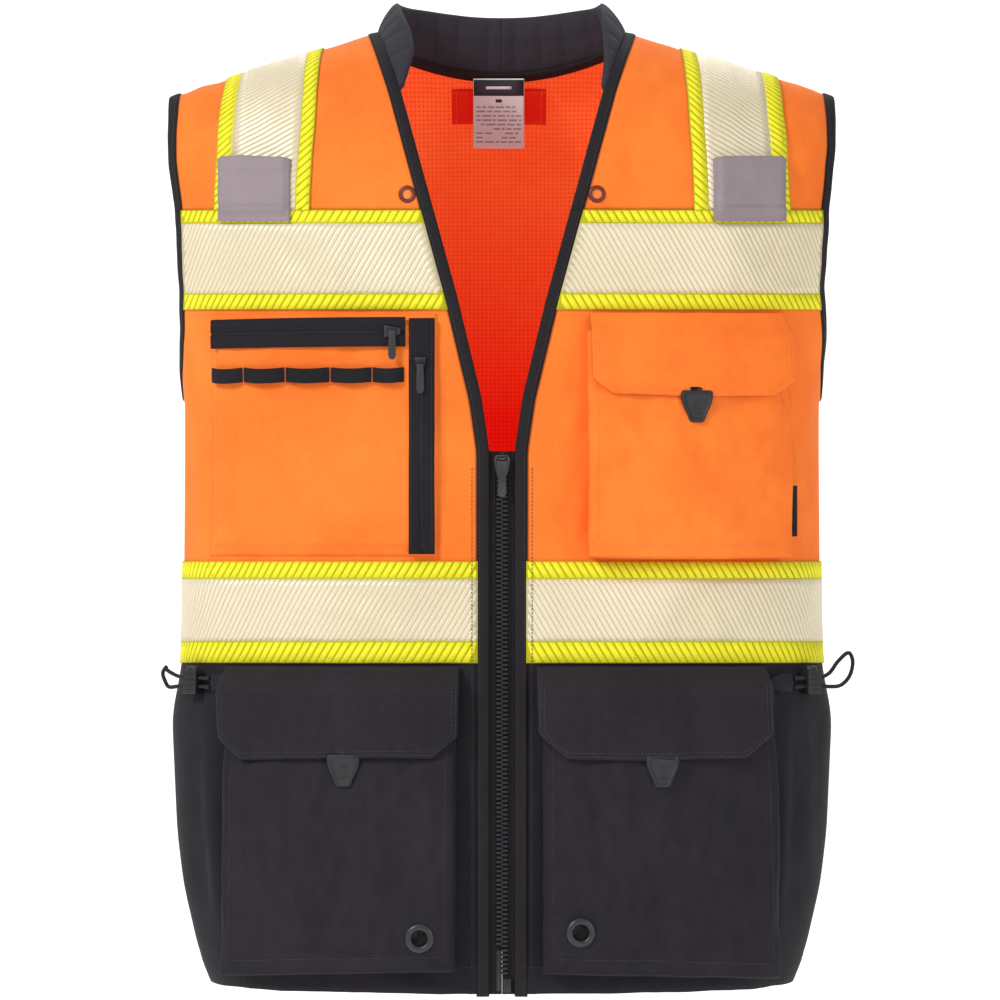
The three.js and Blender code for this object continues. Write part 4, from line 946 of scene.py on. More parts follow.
for sx, S in SIDES:
    n_s, n_f = 150, 15
    mir = np.array([sx, 1, 1.0])
    lo, hi = spline([[-26, 67.8, -19.6]] + _lower, n_s + 14)[14:] * mir, spline([[-22, 58.4, 23]] + _upper[sx], n_s + 14)[14:] * mir
    lo[0], hi[0] = np.array([0, 70, -21]), np.array([0, 60, 22.5])
    s_len = np.concatenate([[0], np.cumsum(np.linalg.norm(np.diff((lo + hi) / 2, axis=0), axis=1))])
    up_v = hi - lo
    ll = np.linalg.norm(up_v, axis=1, keepdims=True)
    T = np.gradient((lo + hi) / 2, axis=0)
    nrm = np.cross(T, up_v)
    nrm /= np.linalg.norm(nrm, axis=1, keepdims=True)
    sg = np.sign((nrm * np.stack([lo[:, 0], lo[:, 1], 0 * lo[:, 0]], -1)).sum(1, keepdims=True))
    sg[sg == 0] = 1
    nrm *= sg
    nrm[0] = nrm[1] * np.array([0, 1, 1]); nrm[0] /= np.linalg.norm(nrm[0])
    start = lo + up_v / ll * 1.2
    f = (1 - np.cos(np.linspace(0, math.pi, n_f))) / 2
    # channel seams across the stand, about every 13 mm, and one seam along its middle
    pos, edges = 11.0, [-11.0]
    q = 0
    while pos < s_len[-1] + 20:
        edges.append(pos)
        q += 1
        pos += 22.0 + 4.0 * math.sin(q * 2.4 + sx)
    edges = np.array(edges)
    dist = np.min(np.abs(s_len[:, None] - edges[None, :]), axis=1)
    puff = np.clip(dist / 9.0, 0, 1)
    puff = np.sqrt(1 - (1 - puff) ** 2)
    fade = sstep(s_len[-1], s_len[-1] - 16, s_len)
    mid = np.clip(np.abs(f - 0.52) / 0.07, 0, 1)
    body_t = np.sin(math.pi * np.clip(f, 0, 1)) ** 0.55
    half_in = 1.1 + body_t[None, :] * (0.5 + 3.2 * (0.12 + 0.88 * puff[:, None]) * (0.3 + 0.7 * mid[None, :])) * (0.45 + 0.55 * fade[:, None])
    half_out = 1.1 + body_t[None, :] * (0.6 + 2.2 * (0.3 + 0.7 * puff[:, None])) * (0.45 + 0.55 * fade[:, None])
    base = start[:, None, :] + (hi - start)[:, None, :] * f[None, :, None]
    I, O = base - nrm[:, None, :] * half_in[..., None], base + nrm[:, None, :] * half_out[..., None]
    topn = (hi - start) / np.linalg.norm(hi - start, axis=1, keepdims=True)
    # one closed ring per station: up the outside, over the top edge and down the inside
    cap = (hi + topn * 1.3)[:, None, :]
    ring = np.concatenate([O, cap, I[:, ::-1], (start - topn * 0.2)[:, None, :]], axis=1)
    M = ring.shape[1]
    V = ring.reshape(-1, 3)
    U = np.stack([np.repeat(s_len, M), np.tile(np.linspace(0, 110, M), n_s)], -1)
    F = [(i * M + j, i * M + (j + 1) % M, (i + 1) * M + (j + 1) % M, (i + 1) * M + j) for i in range(n_s - 1) for j in range(M)]
    F.append(tuple((n_s - 1) * M + j for j in range(M)))
    F.append(tuple(range(M - 1, -1, -1)))
    ob = add_mesh(S + "collar_stand", V, F, MAT["collar"], U)
    done(ob, "padded_collar", "collar")
    COLLAR = COLLAR + [ob] if sx > 0 else [ob]
    key = (S + "collar", lambda o, s=sx: yoke_blend(o, s))
    m_i = int(round(n_f * 0.52)) - 1
    stitch(key, I[:-6, m_i] - nrm[:-6] * 0.1, -nrm[:-6], "thread_black", pitch=3.4)
    stitch(key, O[:-6, 2] + nrm[:-6] * 0.1, nrm[:-6], "thread_black", pitch=3.4)

for (sx, S), ob in zip(SIDES, COLLAR):
    yoke_blend(ob, sx)

# ------------------------------------------------------------------ small helpers for trim
def frame_at(p, n):
    """Local axes at p: x level, y up the surface, z along n."""
    z = n / np.linalg.norm(n)
    x = np.cross([0, 0, 1.0], z)
    x /= np.linalg.norm(x)
    return x, np.cross(z, x), z


def lathe(name, p, n, prof, mat, seg=56):
    x, y, z = frame_at(p, n)
    a = np.arange(seg) / seg * 2 * math.pi
    prof = np.array(prof, float)
    dirs = np.cos(a)[:, None] * x + np.sin(a)[:, None] * y
    V = (p + dirs[:, None, :] * prof[None, :, 0:1] + z * prof[None, :, 1:2]).reshape(-1, 3)
    M = len(prof)
    F = [(i * M + j, i * M + (j + 1) % M, ((i + 1) % seg) * M + (j + 1) % M, ((i + 1) % seg) * M + j) for i in range(seg) for j in range(M)]
    return V, F, np.zeros((len(V), 2)), 0


def disc(p, n, r, off, seg=40, m=1):
    x, y, z = frame_at(p, n)
    a = np.arange(seg) / seg * 2 * math.pi
    V = np.concatenate([[p + z * off], p + np.cos(a)[:, None] * x * r + np.sin(a)[:, None] * y * r + z * off])
    return V, [(0, i + 1, (i + 1) % seg + 1) for i in range(seg)], np.zeros((len(V), 2)), m


def plate(pts, rings, p, x, y, z, m=0):
    """A rounded plate: the outline pts scaled and lifted ring by ring, closed behind and in front."""
    pts = np.array(pts, float)
    dense = []
    for i in range(len(pts)):
        a, b = pts[i], pts[(i + 1) % len(pts)]
        k = max(1, int(np.linalg.norm(b - a) / 1.5))
        dense += [a + (b - a) * q / k for q in range(k)]
    pts = np.array(dense)
    for _ in range(2):
        pts = 0.5 * pts + 0.25 * (np.roll(pts, 1, 0) + np.roll(pts, -1, 0))
    c = pts.mean(0)
    size = np.abs(pts - c).max(0)
    V = []
    for inset, h in rings:
        q = c + (pts - c) * (1 - inset / size)
        V.append(p + q[:, :1] * x + q[:, 1:] * y + h * z)
    M = len(pts)
    F = [(i * M + j, i * M + (j + 1) % M, (i + 1) * M + (j + 1) % M, (i + 1) * M + j) for i in range(len(rings) - 1) for j in range(M)]
    F.append(tuple(range(M - 1, -1, -1)))
    F.append(tuple((len(rings) - 1) * M + j for j in range(M)))
    V = np.concatenate(V)
    return V, F, V[:, [0, 2]], m


def ticks(P, N, across, pitch, size, h, m=0, off=0.0):
    """Small rounded bars laid across a line: zip coils and bar tacks."""
    Q, M, t = resample(P, 0.7, N)
    k = int(t[-1] // pitch)
    c = (np.arange(k) + 0.5) * t[-1] / k
    f = lambda A: np.stack([np.interp(c, t, A[:, i]) for i in range(3)], -1)
    T, B, _ = frames(Q, M)
    p, n, b, tt = f(Q), f(M), f(B), f(T)
    L, W_ = (size[0] / 2, size[1] / 2)
    V = []
    for u, w_, z in ((-1, -.7, 0), (-1, .7, 0), (-.75, -.55, 1), (-.75, .55, 1), (.75, -.55, 1), (.75, .55, 1), (1, -.7, 0), (1, .7, 0)):
        V.append(p + (b if across else tt) * u * L + (tt if across else b) * w_ * W_ + n * (z * h + off))
    V = np.stack(V, 1).reshape(-1, 3)
    fs = [(0, 1, 3, 2), (2, 3, 5, 4), (4, 5, 7, 6), (0, 2, 4, 6), (1, 7, 5, 3), (0, 6, 7, 1)]
    F = [tuple(v + 8 * q for v in face) for q in range(k) for face in fs]
    return V, F, np.zeros((len(V), 2)), m


def refine(node, name, mat, slot, bevel=0.4, seg=2, extra=(), mats=()):
    """The CAD part's own shape with its edges rounded."""
    me = frame["nodes"][node].data.copy()
    bm = bmesh.new()
    bm.from_mesh(me)
    bmesh.ops.remove_doubles(bm, verts=bm.verts, dist=2e-6)
    bmesh.ops.dissolve_limit(bm, angle_limit=math.radians(4), verts=bm.verts, edges=bm.edges)
    es = [e for e in bm.edges if e.is_manifold and e.calc_face_angle(0) > math.radians(30)]
    bmesh.ops.bevel(bm, geom=es, offset=bevel / 1000, segments=seg, profile=0.6, affect="EDGES", clamp_overlap=True)
    bm.verts.ensure_lookup_table(); bm.verts.index_update()
    V = np.array([v.co[:] for v in bm.verts]) * 1000
    F = [tuple(v.index for v in f.verts) for f in bm.faces]
    bm.free()
    Vj, Fj, Uj, Mj = join_arrays([(V, F, V[:, [0, 2]], 0), *extra])
    ob = add_mesh(name, Vj, Fj, [mat, *mats], Uj, Mj)
    ang = [e for e in ()]
    return done(ob, slot, node)


def smooth_by_angle(ob, deg=40):
    ob.data.shade_smooth() if hasattr(ob.data, "shade_smooth") else None
    try:
        ob.data.set_sharp_from_angle(angle=math.radians(deg))
    except Exception:
        pass
    return ob


# ------------------------------------------------------------------ mic tabs, neck eyelets, zip, adjusters
for sx, S in SIDES:
    body = FRONT[sx]
    yb = lambda o, s=sx: yoke_blend(o, s)
    sb = lambda o, s=sx: side_blend(o, s)

    u = np.linspace(-1, 1, 40)
    zt = np.linspace(-107.0, -154.0, 34)
    X = sx * 186 + 27.5 * u[None, :] + 0 * zt[:, None]
    Z = zt[:, None] + 0 * u[None, :] - 0.6 * np.abs(u[None, :]) ** 3 * (zt[:, None] > -109)
    stand = 3.3 + 3.6 * sstep(1.0, 0.8, np.abs(u))[None, :] * sstep(-152, -144, zt)[:, None]
    fold = 0.75 * sstep(-116.8, -115.6, zt)[:, None] + 0.55 * sstep(-143.0, -144.2, zt)[:, None] - 0.9 * np.exp(-((zt + 142.6) / 0.9) ** 2)[:, None]
    P, N = SN(-1, X, Z)
    w = wrinkle(-1, P) + 0.35 * pn(X / 14, Z / 11)
    uv = np.stack([X, Z], -1)
    ob = shell(S + "mic_tab_cloth", P, N, stand + w, stand + 1.3 + fold + w, MAT["grey"], uv)
    done(yb(ob), "grey_webbing", S + "mic_tab")
    for e in (-0.955, 0.955):
        j = int(round((e + 1) / 2 * 39))
        stitch((S + "mic", yb), (P + N * (stand + 1.35 + fold + w)[..., None])[:, j], N[:, j], "thread_grey", pitch=2.4, length=1.8, r=0.3)
    for i in (7, 27):
        stitch((S + "mic", yb), (P + N * (stand + 1.35 + fold * 0.9 + w)[..., None])[i, 1:-1], N[i, 1:-1], "thread_grey", pitch=2.4, length=1.8, r=0.28)

    # neck eyelet, rolled
    p, n = on(-1, sx * 71, -133.5, 0)
    parts = [lathe("", p, n, [(3.7, 0.9), (3.6, 1.9), (4.1, 2.6), (5.1, 2.75), (6.1, 2.2), (6.6, 1.35), (6.5, 1.1), (4.6, 1.0)], None),
             disc(p, n, 3.9, 1.3)]
    V, F, U, M = join_arrays(parts)
    ob = add_mesh(S + "neck_eyelet_ring", V, F, [MAT["brass"], MAT["thread_orange"]], U, M)
    done(yb(ob), "eyelet_brass", S + "neck_eyelet")

    # zip tape, with the cord along its edge
    zr = np.linspace(-326, -733.5, 120)
    xs = sx * np.linspace(0.1, 26, 16)
    G = np.stack(np.broadcast_arrays(xs[None, :], -123.5 + 0 * zr[:, None], zr[:, None]), -1).astype(float)
    G[..., 1] += 0.25 * np.sin(zr / 23)[:, None] * sstep(8, 20, np.abs(xs))[None, :]
    ob = shell(S + "zip_tape_cloth", G, np.zeros_like(G) + np.array([0, -1.0, 0]), -0.5, 0.6, MAT["zip_tape"], G[..., [0, 2]])
    done(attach(ob, body), "zip_tape_cloth", S + "zip_tape")
    c8 = [(1.0 * math.cos(a), 1.0 * math.sin(a)) for a in np.arange(8) * math.pi / 4]
    zc = np.linspace(-326, -731.5, 160)
    Pc = np.stack([sx * 5.4 + 0 * zc, -124.1 + 0 * zc, zc], -1)
    Nc = np.zeros_like(Pc) + np.array([0, -1.0, 0])
    T, B, _ = frames(Pc, Nc)
    V, F, U, _ = sweep_arrays(Pc, B, Nc, np.array(c8), -zc)
    ob = add_mesh(S + "zip_tape_edge_cord", V, F, MAT["zip_tape"], U)
    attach(ob, body)
    # a stitched line holds the tape behind the cloth
    zq = np.linspace(-338, -726, 160)
    Pq, Nq = SN(-1, sx * 22.5, zq)
    lift = np.where((zq < Z_WAIST[0]) & (zq > Z_WAIST[1]), 3.3, 1.3)
    stitch((S + "front_edge2", lambda o, b=body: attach(o, b)), Pq + Nq * (lift + wrinkle(-1, Pq))[:, None], Nq, "thread_black", pitch=3.0, length=2.2)

    # moulded teeth
    end = -700 if sx < 0 else -721
    k = int((331 - 3 + end * -1 - 331) // 3.4)
    zt = -331.6 - 3.4 * np.arange(int((-end - 332) // 3.4)) - (0 if sx < 0 else 1.7)
    zt = zt[zt > end + 0.9]
    tooth = np.array([(-4.5, -.95), (-4.5, .95), (-1.6, 1.0), (-0.9, 0.72), (0.2, 0.78), (0.95, 0.45), (0.95, -.45), (0.2, -.78), (-0.9, -.72), (-1.6, -1.0)])
    layers = [(0.86, -125.9), (1.0, -125.5), (1.0, -122.4), (0.86, -122.0)]
    one = []
    for sc, y in layers:
        cx = -1.8
        one.append(np.stack([-sx * (cx + (tooth[:, 0] - cx) * sc), 0 * tooth[:, 0] + y, tooth[:, 1] * sc], -1))
    one = np.concatenate(one)
    V = (one[None] + np.stack([0 * zt, 0 * zt, zt], -1)[:, None]).reshape(-1, 3)
    M_ = len(tooth)
    fs = [(i * M_ + j, i * M_ + (j + 1) % M_, (i + 1) * M_ + (j + 1) % M_, (i + 1) * M_ + j) for i in range(3) for j in range(M_)]
    fs += [tuple(range(M_ - 1, -1, -1)), tuple(3 * M_ + j for j in range(M_))]
    F = [tuple(v + 4 * M_ * q for v in f) for q in range(len(zt)) for f in fs]
    ob = add_mesh(S + "zip_teeth_row", V, F, MAT["teeth"])
    smooth_by_angle(ob, 35)
    done(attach(ob, body), "black_plastic", S + "zip_teeth")

    # waist adjuster
    A, uu = np.array([sx * 223.0, -79.5, -502]), np.array([sx * 0.8, 0.6, 0])
    sep, tip, rise = 3.2, (60 if sx > 0 else 48), (17 if sx > 0 else 6)
    pl = [(0, sep), (9, sep), (18, sep), (27, sep), (36, sep + 1.2 + rise * 0.12), (45, sep + 3.5 + rise * 0.5), (tip - 4, sep + 2 + rise * 0.95),
          (tip, sep - 2 + rise * 0.85), (tip - 2.5, -3.2 + rise * 0.45), ((36 + tip) / 2, -5 + rise * 0.1), (34, -sep - 0.8), (27, -sep),
          (18, -sep), (9, -sep), (0, -sep)]
    path = spline([A + uu * s + np.array([0, 0, dz]) for s, dz in pl], 90)
    tl = np.concatenate([[0], np.cumsum(np.linalg.norm(np.diff(path, axis=0), axis=1))])
    nn = np.zeros_like(path) + np.cross(uu, [0, 0, 1.0])
    T = np.gradient(path, axis=0); T /= np.linalg.norm(T, axis=1, keepdims=True)
    B = np.cross(T, nn); B /= np.linalg.norm(B, axis=1, keepdims=True)
    NN = np.cross(B, T)
    c12 = np.array([(1.5 * math.cos(a), 1.5 * math.sin(a)) for a in np.arange(12) * math.pi / 6])
    V, F, U, _ = sweep_arrays(path, B, NN, c12, tl)
    ob = add_mesh(S + "adjuster_cord_loop", V, F, MAT["cord"], U)
    done(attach(ob, body), "elastic_cord", S + "adjuster_cord")
    # the cloth tunnel that the cord leaves, a rolled hem along the side
    tt = np.linspace(-26, -3.5, 22)
    Pt = A + uu * tt[:, None] * np.array([1, 1.15, 1]) + np.array([0, 0.9, 0])
    nb = np.cross(uu, [0, 0, 1.0]) * (1 if np.cross(uu, [0, 0, 1.0])[1] < 0 else -1)
    ring = np.array([(math.cos(a), math.sin(a)) for a in np.arange(18) / 18 * 2 * math.pi])
    V, F = [], []
    for i, q in enumerate(tt):
        s = 1 - 0.55 * sstep(-12, -26, q)
        rx, rz = 3.2 * s, (6.8 + 0.5 * math.sin(q * 0.9)) * s
        V.append(Pt[i] + nb * (ring[:, :1] * rx - 1.2 * (1 - s) * 3) + np.array([0, 0, 1.0]) * ring[:, 1:] * rz)
    inner = [Pt[-1] + nb * ring[:, :1] * 1.9 + np.array([0, 0, 1.0]) * ring[:, 1:] * 5.2,
             Pt[-1] - uu * 5 + nb * ring[:, :1] * 1.7 + np.array([0, 0, 1.0]) * ring[:, 1:] * 5.0]
    V += inner
    M_ = 18
    F = [(i * M_ + j, i * M_ + (j + 1) % M_, (i + 1) * M_ + (j + 1) % M_, (i + 1) * M_ + j) for i in range(len(V) - 1) for j in range(M_)]
    F += [tuple(range(M_ - 1, -1, -1)), tuple((len(V) - 1) * M_ + j for j in range(M_))]
    V = np.concatenate(V)
    ob = add_mesh(S + "adjuster_tunnel", V, F, MAT["black"], V[:, [0, 2]])
    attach(ob, body)
    # cord lock: rounded body with a sprung button
    cpos = A + uu * 17
    yv = np.cross([0, 0, 1.0], uu)
    btn = plate([(-4.6, -2.9), (4.6, -2.9), (4.6, 2.9), (-4.6, 2.9)], [(0, 0), (0, 2.6), (0.5, 3.4), (1.4, 3.7)], cpos + np.array([0, 0, 8.6]), uu, yv, np.array([0, 0, 1.0]))
    grip = [plate([(-5.2, -0.45), (5.2, -0.45), (5.2, 0.45), (-5.2, 0.45)], [(0, -0.2), (0, 0.35), (0.15, 0.55)],
                  cpos - yv * 4.5 * g + np.array([0, 0, h]), uu, np.array([0, 0, 1.0]), -yv * g) for h in (-6, -2, 2, 6) for g in (1, -1)]
    ob = refine(S + "cord_lock", S + "cord_lock_body", MAT["plastic"], "black_plastic", bevel=1.6, seg=3, extra=[btn, *grip])
    smooth_by_angle(ob, 45)
    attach(ob, S + "cord_lock")

for node, nm, m, sl, bv in (("zip_slider", "zip_slider_body", "metal", "zip_metal", 0.45), ("zip_pull", "zip_pull_tab", "metal", "zip_metal", 0.4),
                            ("zip_insertion_pin", "zip_pin", "teeth", "black_plastic", 0.5), ("zip_retainer_box", "zip_box", "teeth", "black_plastic", 0.5),
                            ("right_chest_top_zip_slider", "chest_zip_slider_top", "dark_metal", "zip_metal", 0.35),
                            ("right_chest_side_zip_slider", "chest_zip_slider_side", "dark_metal", "zip_metal", 0.35)):
    ob = refine(node, nm, MAT[m], sl, bevel=bv)
    smooth_by_angle(ob, 40)
    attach(ob, [b for b, ns in frame["record"]["behaviour"]["bodies"].items() if node in ns][0])

# ------------------------------------------------------------------ neck label and the patch behind it
u, v = np.linspace(-1, 1, 24), np.linspace(0, 1, 30)
X = -2.5 + 20.5 * u[None, :] + 0 * v[:, None]
Zl = -24 - 56 * v[:, None] + 0 * u[None, :]
Yl = 66.5 + 0.9 * np.sin(u * 2.2 + 0.5)[None, :] * v[:, None] + 1.6 * v[:, None] ** 2 - 0.6 * np.sin(v * 5)[:, None]
LG = np.stack([X, Yl, Zl], -1)
LN = free_normals(LG)
LN *= np.sign(-LN[..., 1:2])
ob = shell("neck_label_cloth", LG, LN, -0.3, 0.3, MAT["label"], np.stack([X, Zl], -1))
done(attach(ob, "neck_label"), "label_cloth", "neck_label")
bars = []


def bar(u0, u1, v0, v1, m, h=0.12):
    uu_, vv_ = np.linspace(u0, u1, 6), np.linspace(v0, v1, 4)
    Xb = -2.5 + 20.5 * uu_[None, :] + 0 * vv_[:, None]
    Zb = -24 - 56 * vv_[:, None] + 0 * uu_[None, :]
    Yb = 66.5 + 0.9 * np.sin(uu_ * 2.2 + 0.5)[None, :] * vv_[:, None] + 1.6 * vv_[:, None] ** 2 - 0.6 * np.sin(vv_ * 5)[:, None]
    G = np.stack([Xb, Yb, Zb], -1)
    N = np.zeros_like(G) + np.array([0, -1.0, 0])
    V, F = shell_arrays(G + N * (0.3 + h), G + N * 0.2)
    bars.append((V, F, np.zeros((len(V), 2)), m))


bar(-0.98, 0.98, 0.02, 0.25, 0, 0.2)
bar(-0.5, 0.5, 0.115, 0.155, 1, 0.26)
bar(-0.12, 0.12, 0.30, 0.345, 0)
_r2 = np.random.RandomState(5)
for q in range(9):
    v0, x0 = 0.40 + q * 0.062, -0.88
    while x0 < 0.82:
        wd = 0.10 + 0.28 * _r2.rand()
        if _r2.rand() > 0.18:
            bar(x0, min(0.88, x0 + wd), v0, v0 + 0.022, 2)
        x0 += wd + 0.07
V, F, U, M = join_arrays(bars)
ob = add_mesh("neck_label_print", V, F, [MAT["ink"], MAT["label"], MAT["ink_grey"]], U, M)
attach(ob, "neck_label")

X, Zp = np.linspace(-40.5, 36, 40)[None, :], np.linspace(-30.5, -56.5, 14)[:, None]
X, Zp = np.broadcast_arrays(X, Zp)
z0p = z0_of(X / 274.0, Zp)
P, N = SN(1, X, z0p)
w = wrinkle(1, P)
rib = 0.4 * np.sin((X + 40) / 76.5 * 2 * math.pi * 5)
ob = shell("neck_patch_cloth", P, N, w - 1.9 + 0.25 * rib, w - 0.35, MAT["patch"], np.stack([X, Zp], -1))
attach(ob, "root")
for i in (1, 12):
    stitch(("neck_patch", "root"), (P - N * (1.95 - w)[..., None])[i], -N[i], "thread_orange", pitch=2.6, length=1.9)
for j in (2, 12, 27, 37):
    stitch(("neck_patch", "root"), (P - N * (1.95 - w)[..., None])[:, j], -N[:, j], "thread_orange", pitch=2.2, length=1.7)

# seam tape along the inside of the back neckline, where the collar joins
xx = np.linspace(-99, 99, 120)
tl_ = top_len(xx)
zn = z_at_len(xx, tl_)
Pn_, Nn_ = SN(1, xx, z0_of(xx / 274.0, zn))
ynk = NECK_BACK * np.sqrt(np.maximum(0, 1 - (xx / NECK_HW) ** 2))
Pe = np.stack([xx, ynk - 1.2, zn], -1)
down = np.gradient(Pe, axis=0)
T, B, _ = frames(Pe, Nn_)
B *= np.sign(-B[:, 2:3])
prof = np.array([(-2.0, -1.6), (-2.0, 0.4), (3.0, 0.7), (8.2, 0.2), (9.0, -0.5), (8.2, -1.3), (3.0, -1.9)])
V, F, U, _ = sweep_arrays(Pe, B, Nn_, prof, np.arange(len(xx)) * 1.7)
ob = add_mesh("neck_seam_tape", V, F, MAT["binding"], U)
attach(ob, "root")

# ------------------------------------------------------------------ chest pocket with two zips, wearer's right
ride_r = lambda o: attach(o, "right_front")
ride_l = lambda o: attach(o, "left_front")
u = np.linspace(0, 1, 62)
v = np.linspace(0, 1, 66)
X = mix(-220.0, -49.0, u)[None, :] + 0 * v[:, None]
Z = mix(-223.2, -404.6, v)[:, None] + 0 * u[None, :]
ex, ez = 85.5 - np.abs(X + 134.5), 90.7 - np.abs(Z + 313.9)
e = np.minimum(ex, ez)
P, N = SN(-1, X, Z)
soft = sstep(0, 9, e)
crease = 0.8 * pn(X / 21, Z / 26) + 0.35 * pn(X / 9, Z / 12) + line_fold(X, Z, (-190, -290), (-90, -392), 8, 1.0) + line_fold(X, Z, (-80, -300), (-170, -398), 7, 0.8)
quiet = sstep(-277, -284, Z) * sstep(-74, -82, X)
d = 1.9 + 3.1 * soft + (crease + 1.6 * sstep(-300, -390, Z)) * soft * quiet - 0.45 * np.exp(-((e - 5.2) / 0.9) ** 2)
w = wrinkle(-1, P)
ob = shell("right_chest_pocket_cloth", P, N, d + w - 1.3, d + w, MAT["orange"], np.stack([X, Z], -1))
done(ride_r(ob), "orange_cloth", "right_chest_pocket")
Pd = P + N * (d + w + 0.1)[..., None]
for i in (62,):
    stitch(("rpocket", ride_r), Pd[i, 2:-2], N[i, 2:-2], "thread_orange")
for j in (2,):
    stitch(("rpocket", ride_r), Pd[2:-2, j], N[2:-2, j], "thread_orange")

# top zip: on the arc that its slider follows
CX, CY, RR = -63.083, 164.239, 293.715


def on_arc(x, z, off):
    x, z = np.broadcast_arrays(np.asarray(x, float), np.asarray(z, float))
    t = np.arccos(np.clip((x - CX) / RR, -1, 1))
    return np.stack([CX + (RR + off) * np.cos(t), CY - (RR + off) * np.sin(t), z], -1), np.stack([np.cos(t), -np.sin(t), 0 * t], -1)


xs = np.linspace(-221.5, -72.5, 74)
zs = np.linspace(-225.6, -247.6, 26)
P, N = on_arc(xs[None, :], zs[:, None], 0)
mid = np.abs(zs + 236.6)
lipd = 0.9 * sstep(0.4, 1.4, mid) - 0.9 * sstep(1.4, 0.4, mid) + 0.25 * sstep(5.6, 5.0, mid) - 0.3 * np.exp(-((mid - 7.2) / 0.5) ** 2)
edge = np.minimum(11.0 - mid, 3) / 3
d = 0.1 + lipd[:, None] * 0.55 + 0.35 * edge[:, None]
back_d = -2.2 + 0 * d
ob = shell("right_chest_top_zip_tape", P, N, back_d, d, MAT["zip_tape"], np.stack(np.broadcast_arrays(xs[None, :], zs[:, None]), -1).astype(float))
done(ride_r(ob), "zip_tape_cloth", "right_chest_top_zip")
for zz_ in (-229.4, -243.8):
    Pq, Nq = on_arc(xs[1:-1], zz_, 0.55)
    stitch(("rzip", ride_r), Pq, Nq, "thread_black", pitch=2.8, length=2.0)
Pq, Nq = on_arc(xs[1:-2], -236.6, -0.35)
parts = [ticks(Pq, Nq, True, 1.5, (3.4, 1.0), 0.55)]
# side zip: garage above, coil below
xs2, zs2 = np.linspace(-69.3, -50.2, 24), np.linspace(-226.5, -403.2, 90)
P, N = SN(-1, *np.broadcast_arrays(xs2[None, :], zs2[:, None]))
w = wrinkle(-1, P)
mid = np.abs(xs2 + 59.8)
lipd = 0.9 * sstep(0.4, 1.4, mid) - 0.9 * sstep(1.4, 0.4, mid) + 0.25 * sstep(5.2, 4.6, mid)
gar = sstep(-268, -264, zs2)[:, None]
edge = np.minimum(9.6 - mid, 2.6) / 2.6
d = 5.5 + (lipd[None, :] * (1 - gar) + 0.9 * gar * sstep(6.5, 4.5, mid)[None, :]) * 0.6 + 0.35 * edge[None, :]
ob = shell("right_chest_side_zip_tape", P, N, 3.2 + w, d + w, MAT["zip_tape"], np.stack(np.broadcast_arrays(xs2[None, :], zs2[:, None]), -1).astype(float))
done(ride_r(ob), "zip_tape_cloth", "right_chest_side_zip")
zq = np.linspace(-230, -400, 120)
for xq in (-67.6, -52.2):
    Pq, Nq = on(-1, xq, zq, 6.15)
    stitch(("rzip", ride_r), Pq, Nq, "thread_black", pitch=2.8, length=2.0)
zq = np.linspace(-268, -400, 120)
Pq, Nq = on(-1, -59.8, zq, 5.1)
parts.append(ticks(Pq, Nq, True, 1.5, (3.4, 1.0), 0.6))
V, F, U, M = join_arrays(parts)
ob = add_mesh("right_chest_zip_coils", V, F, [MAT["teeth"]], U, M)
ride_r(ob)

# pen loops
tacks = [-217, -193, -161.5, -128, -96.6, -73]
xp, fp = [], []
for a, b in zip(tacks[:-1], tacks[1:]):
    q = np.linspace(0, 1, 13)[:-1]
    xp += list(mix(a, b, q)); fp += list(q)
xp.append(tacks[-1]); fp.append(0)
xp, fp = np.array(xp), np.array(fp)
zp = np.linspace(-263.2, -274.2, 8)
lift = 4.6 * np.sin(math.pi * np.clip(fp, 0, 1)) ** 0.5
sagp = 1.1 * np.sin(math.pi * fp)
P, N = SN(-1, xp[None, :] + 0 * zp[:, None], zp[:, None] - sagp[None, :])
w = wrinkle(-1, P)
rimp = 0.18 * np.cos(np.linspace(-1, 1, 8) * math.pi / 2)[:, None]
ob = shell("right_chest_pen_strip", P, N, 4.9 + lift[None, :] + w, 6.1 + lift[None, :] + w + rimp, MAT["zip_tape"],
           np.stack(np.broadcast_arrays(xp[None, :], zp[:, None]), -1).astype(float))
done(ride_r(ob), "zip_tape_cloth", "right_chest_pen_loops")
parts = []
for x in tacks[1:-1]:
    for dx in (-0.5, 0.5):
        zq = np.linspace(-262.4, -275.2, 30)
        Pq, Nq = on(-1, x + dx, zq, 6.15)
        parts.append(ticks(Pq, Nq, True, 0.75, (1.5, 0.62), 0.45))
V, F, U, M = join_arrays(parts)
ob = add_mesh("right_chest_bar_tacks", V, F, [MAT["thread_orange"]], U, M)
ride_r(ob)


# ------------------------------------------------------------------ bellows pockets and their flaps
WALL = [(0.0, 1.35), (0.3, 3.4), (2.7, 5.6), (0.9, 8.6), (0.7, 9.4), (2.9, 11.8), (0.6, 14.4), (-0.7, 15.8), (-0.2, 16.9), (0.9, 17.4)]


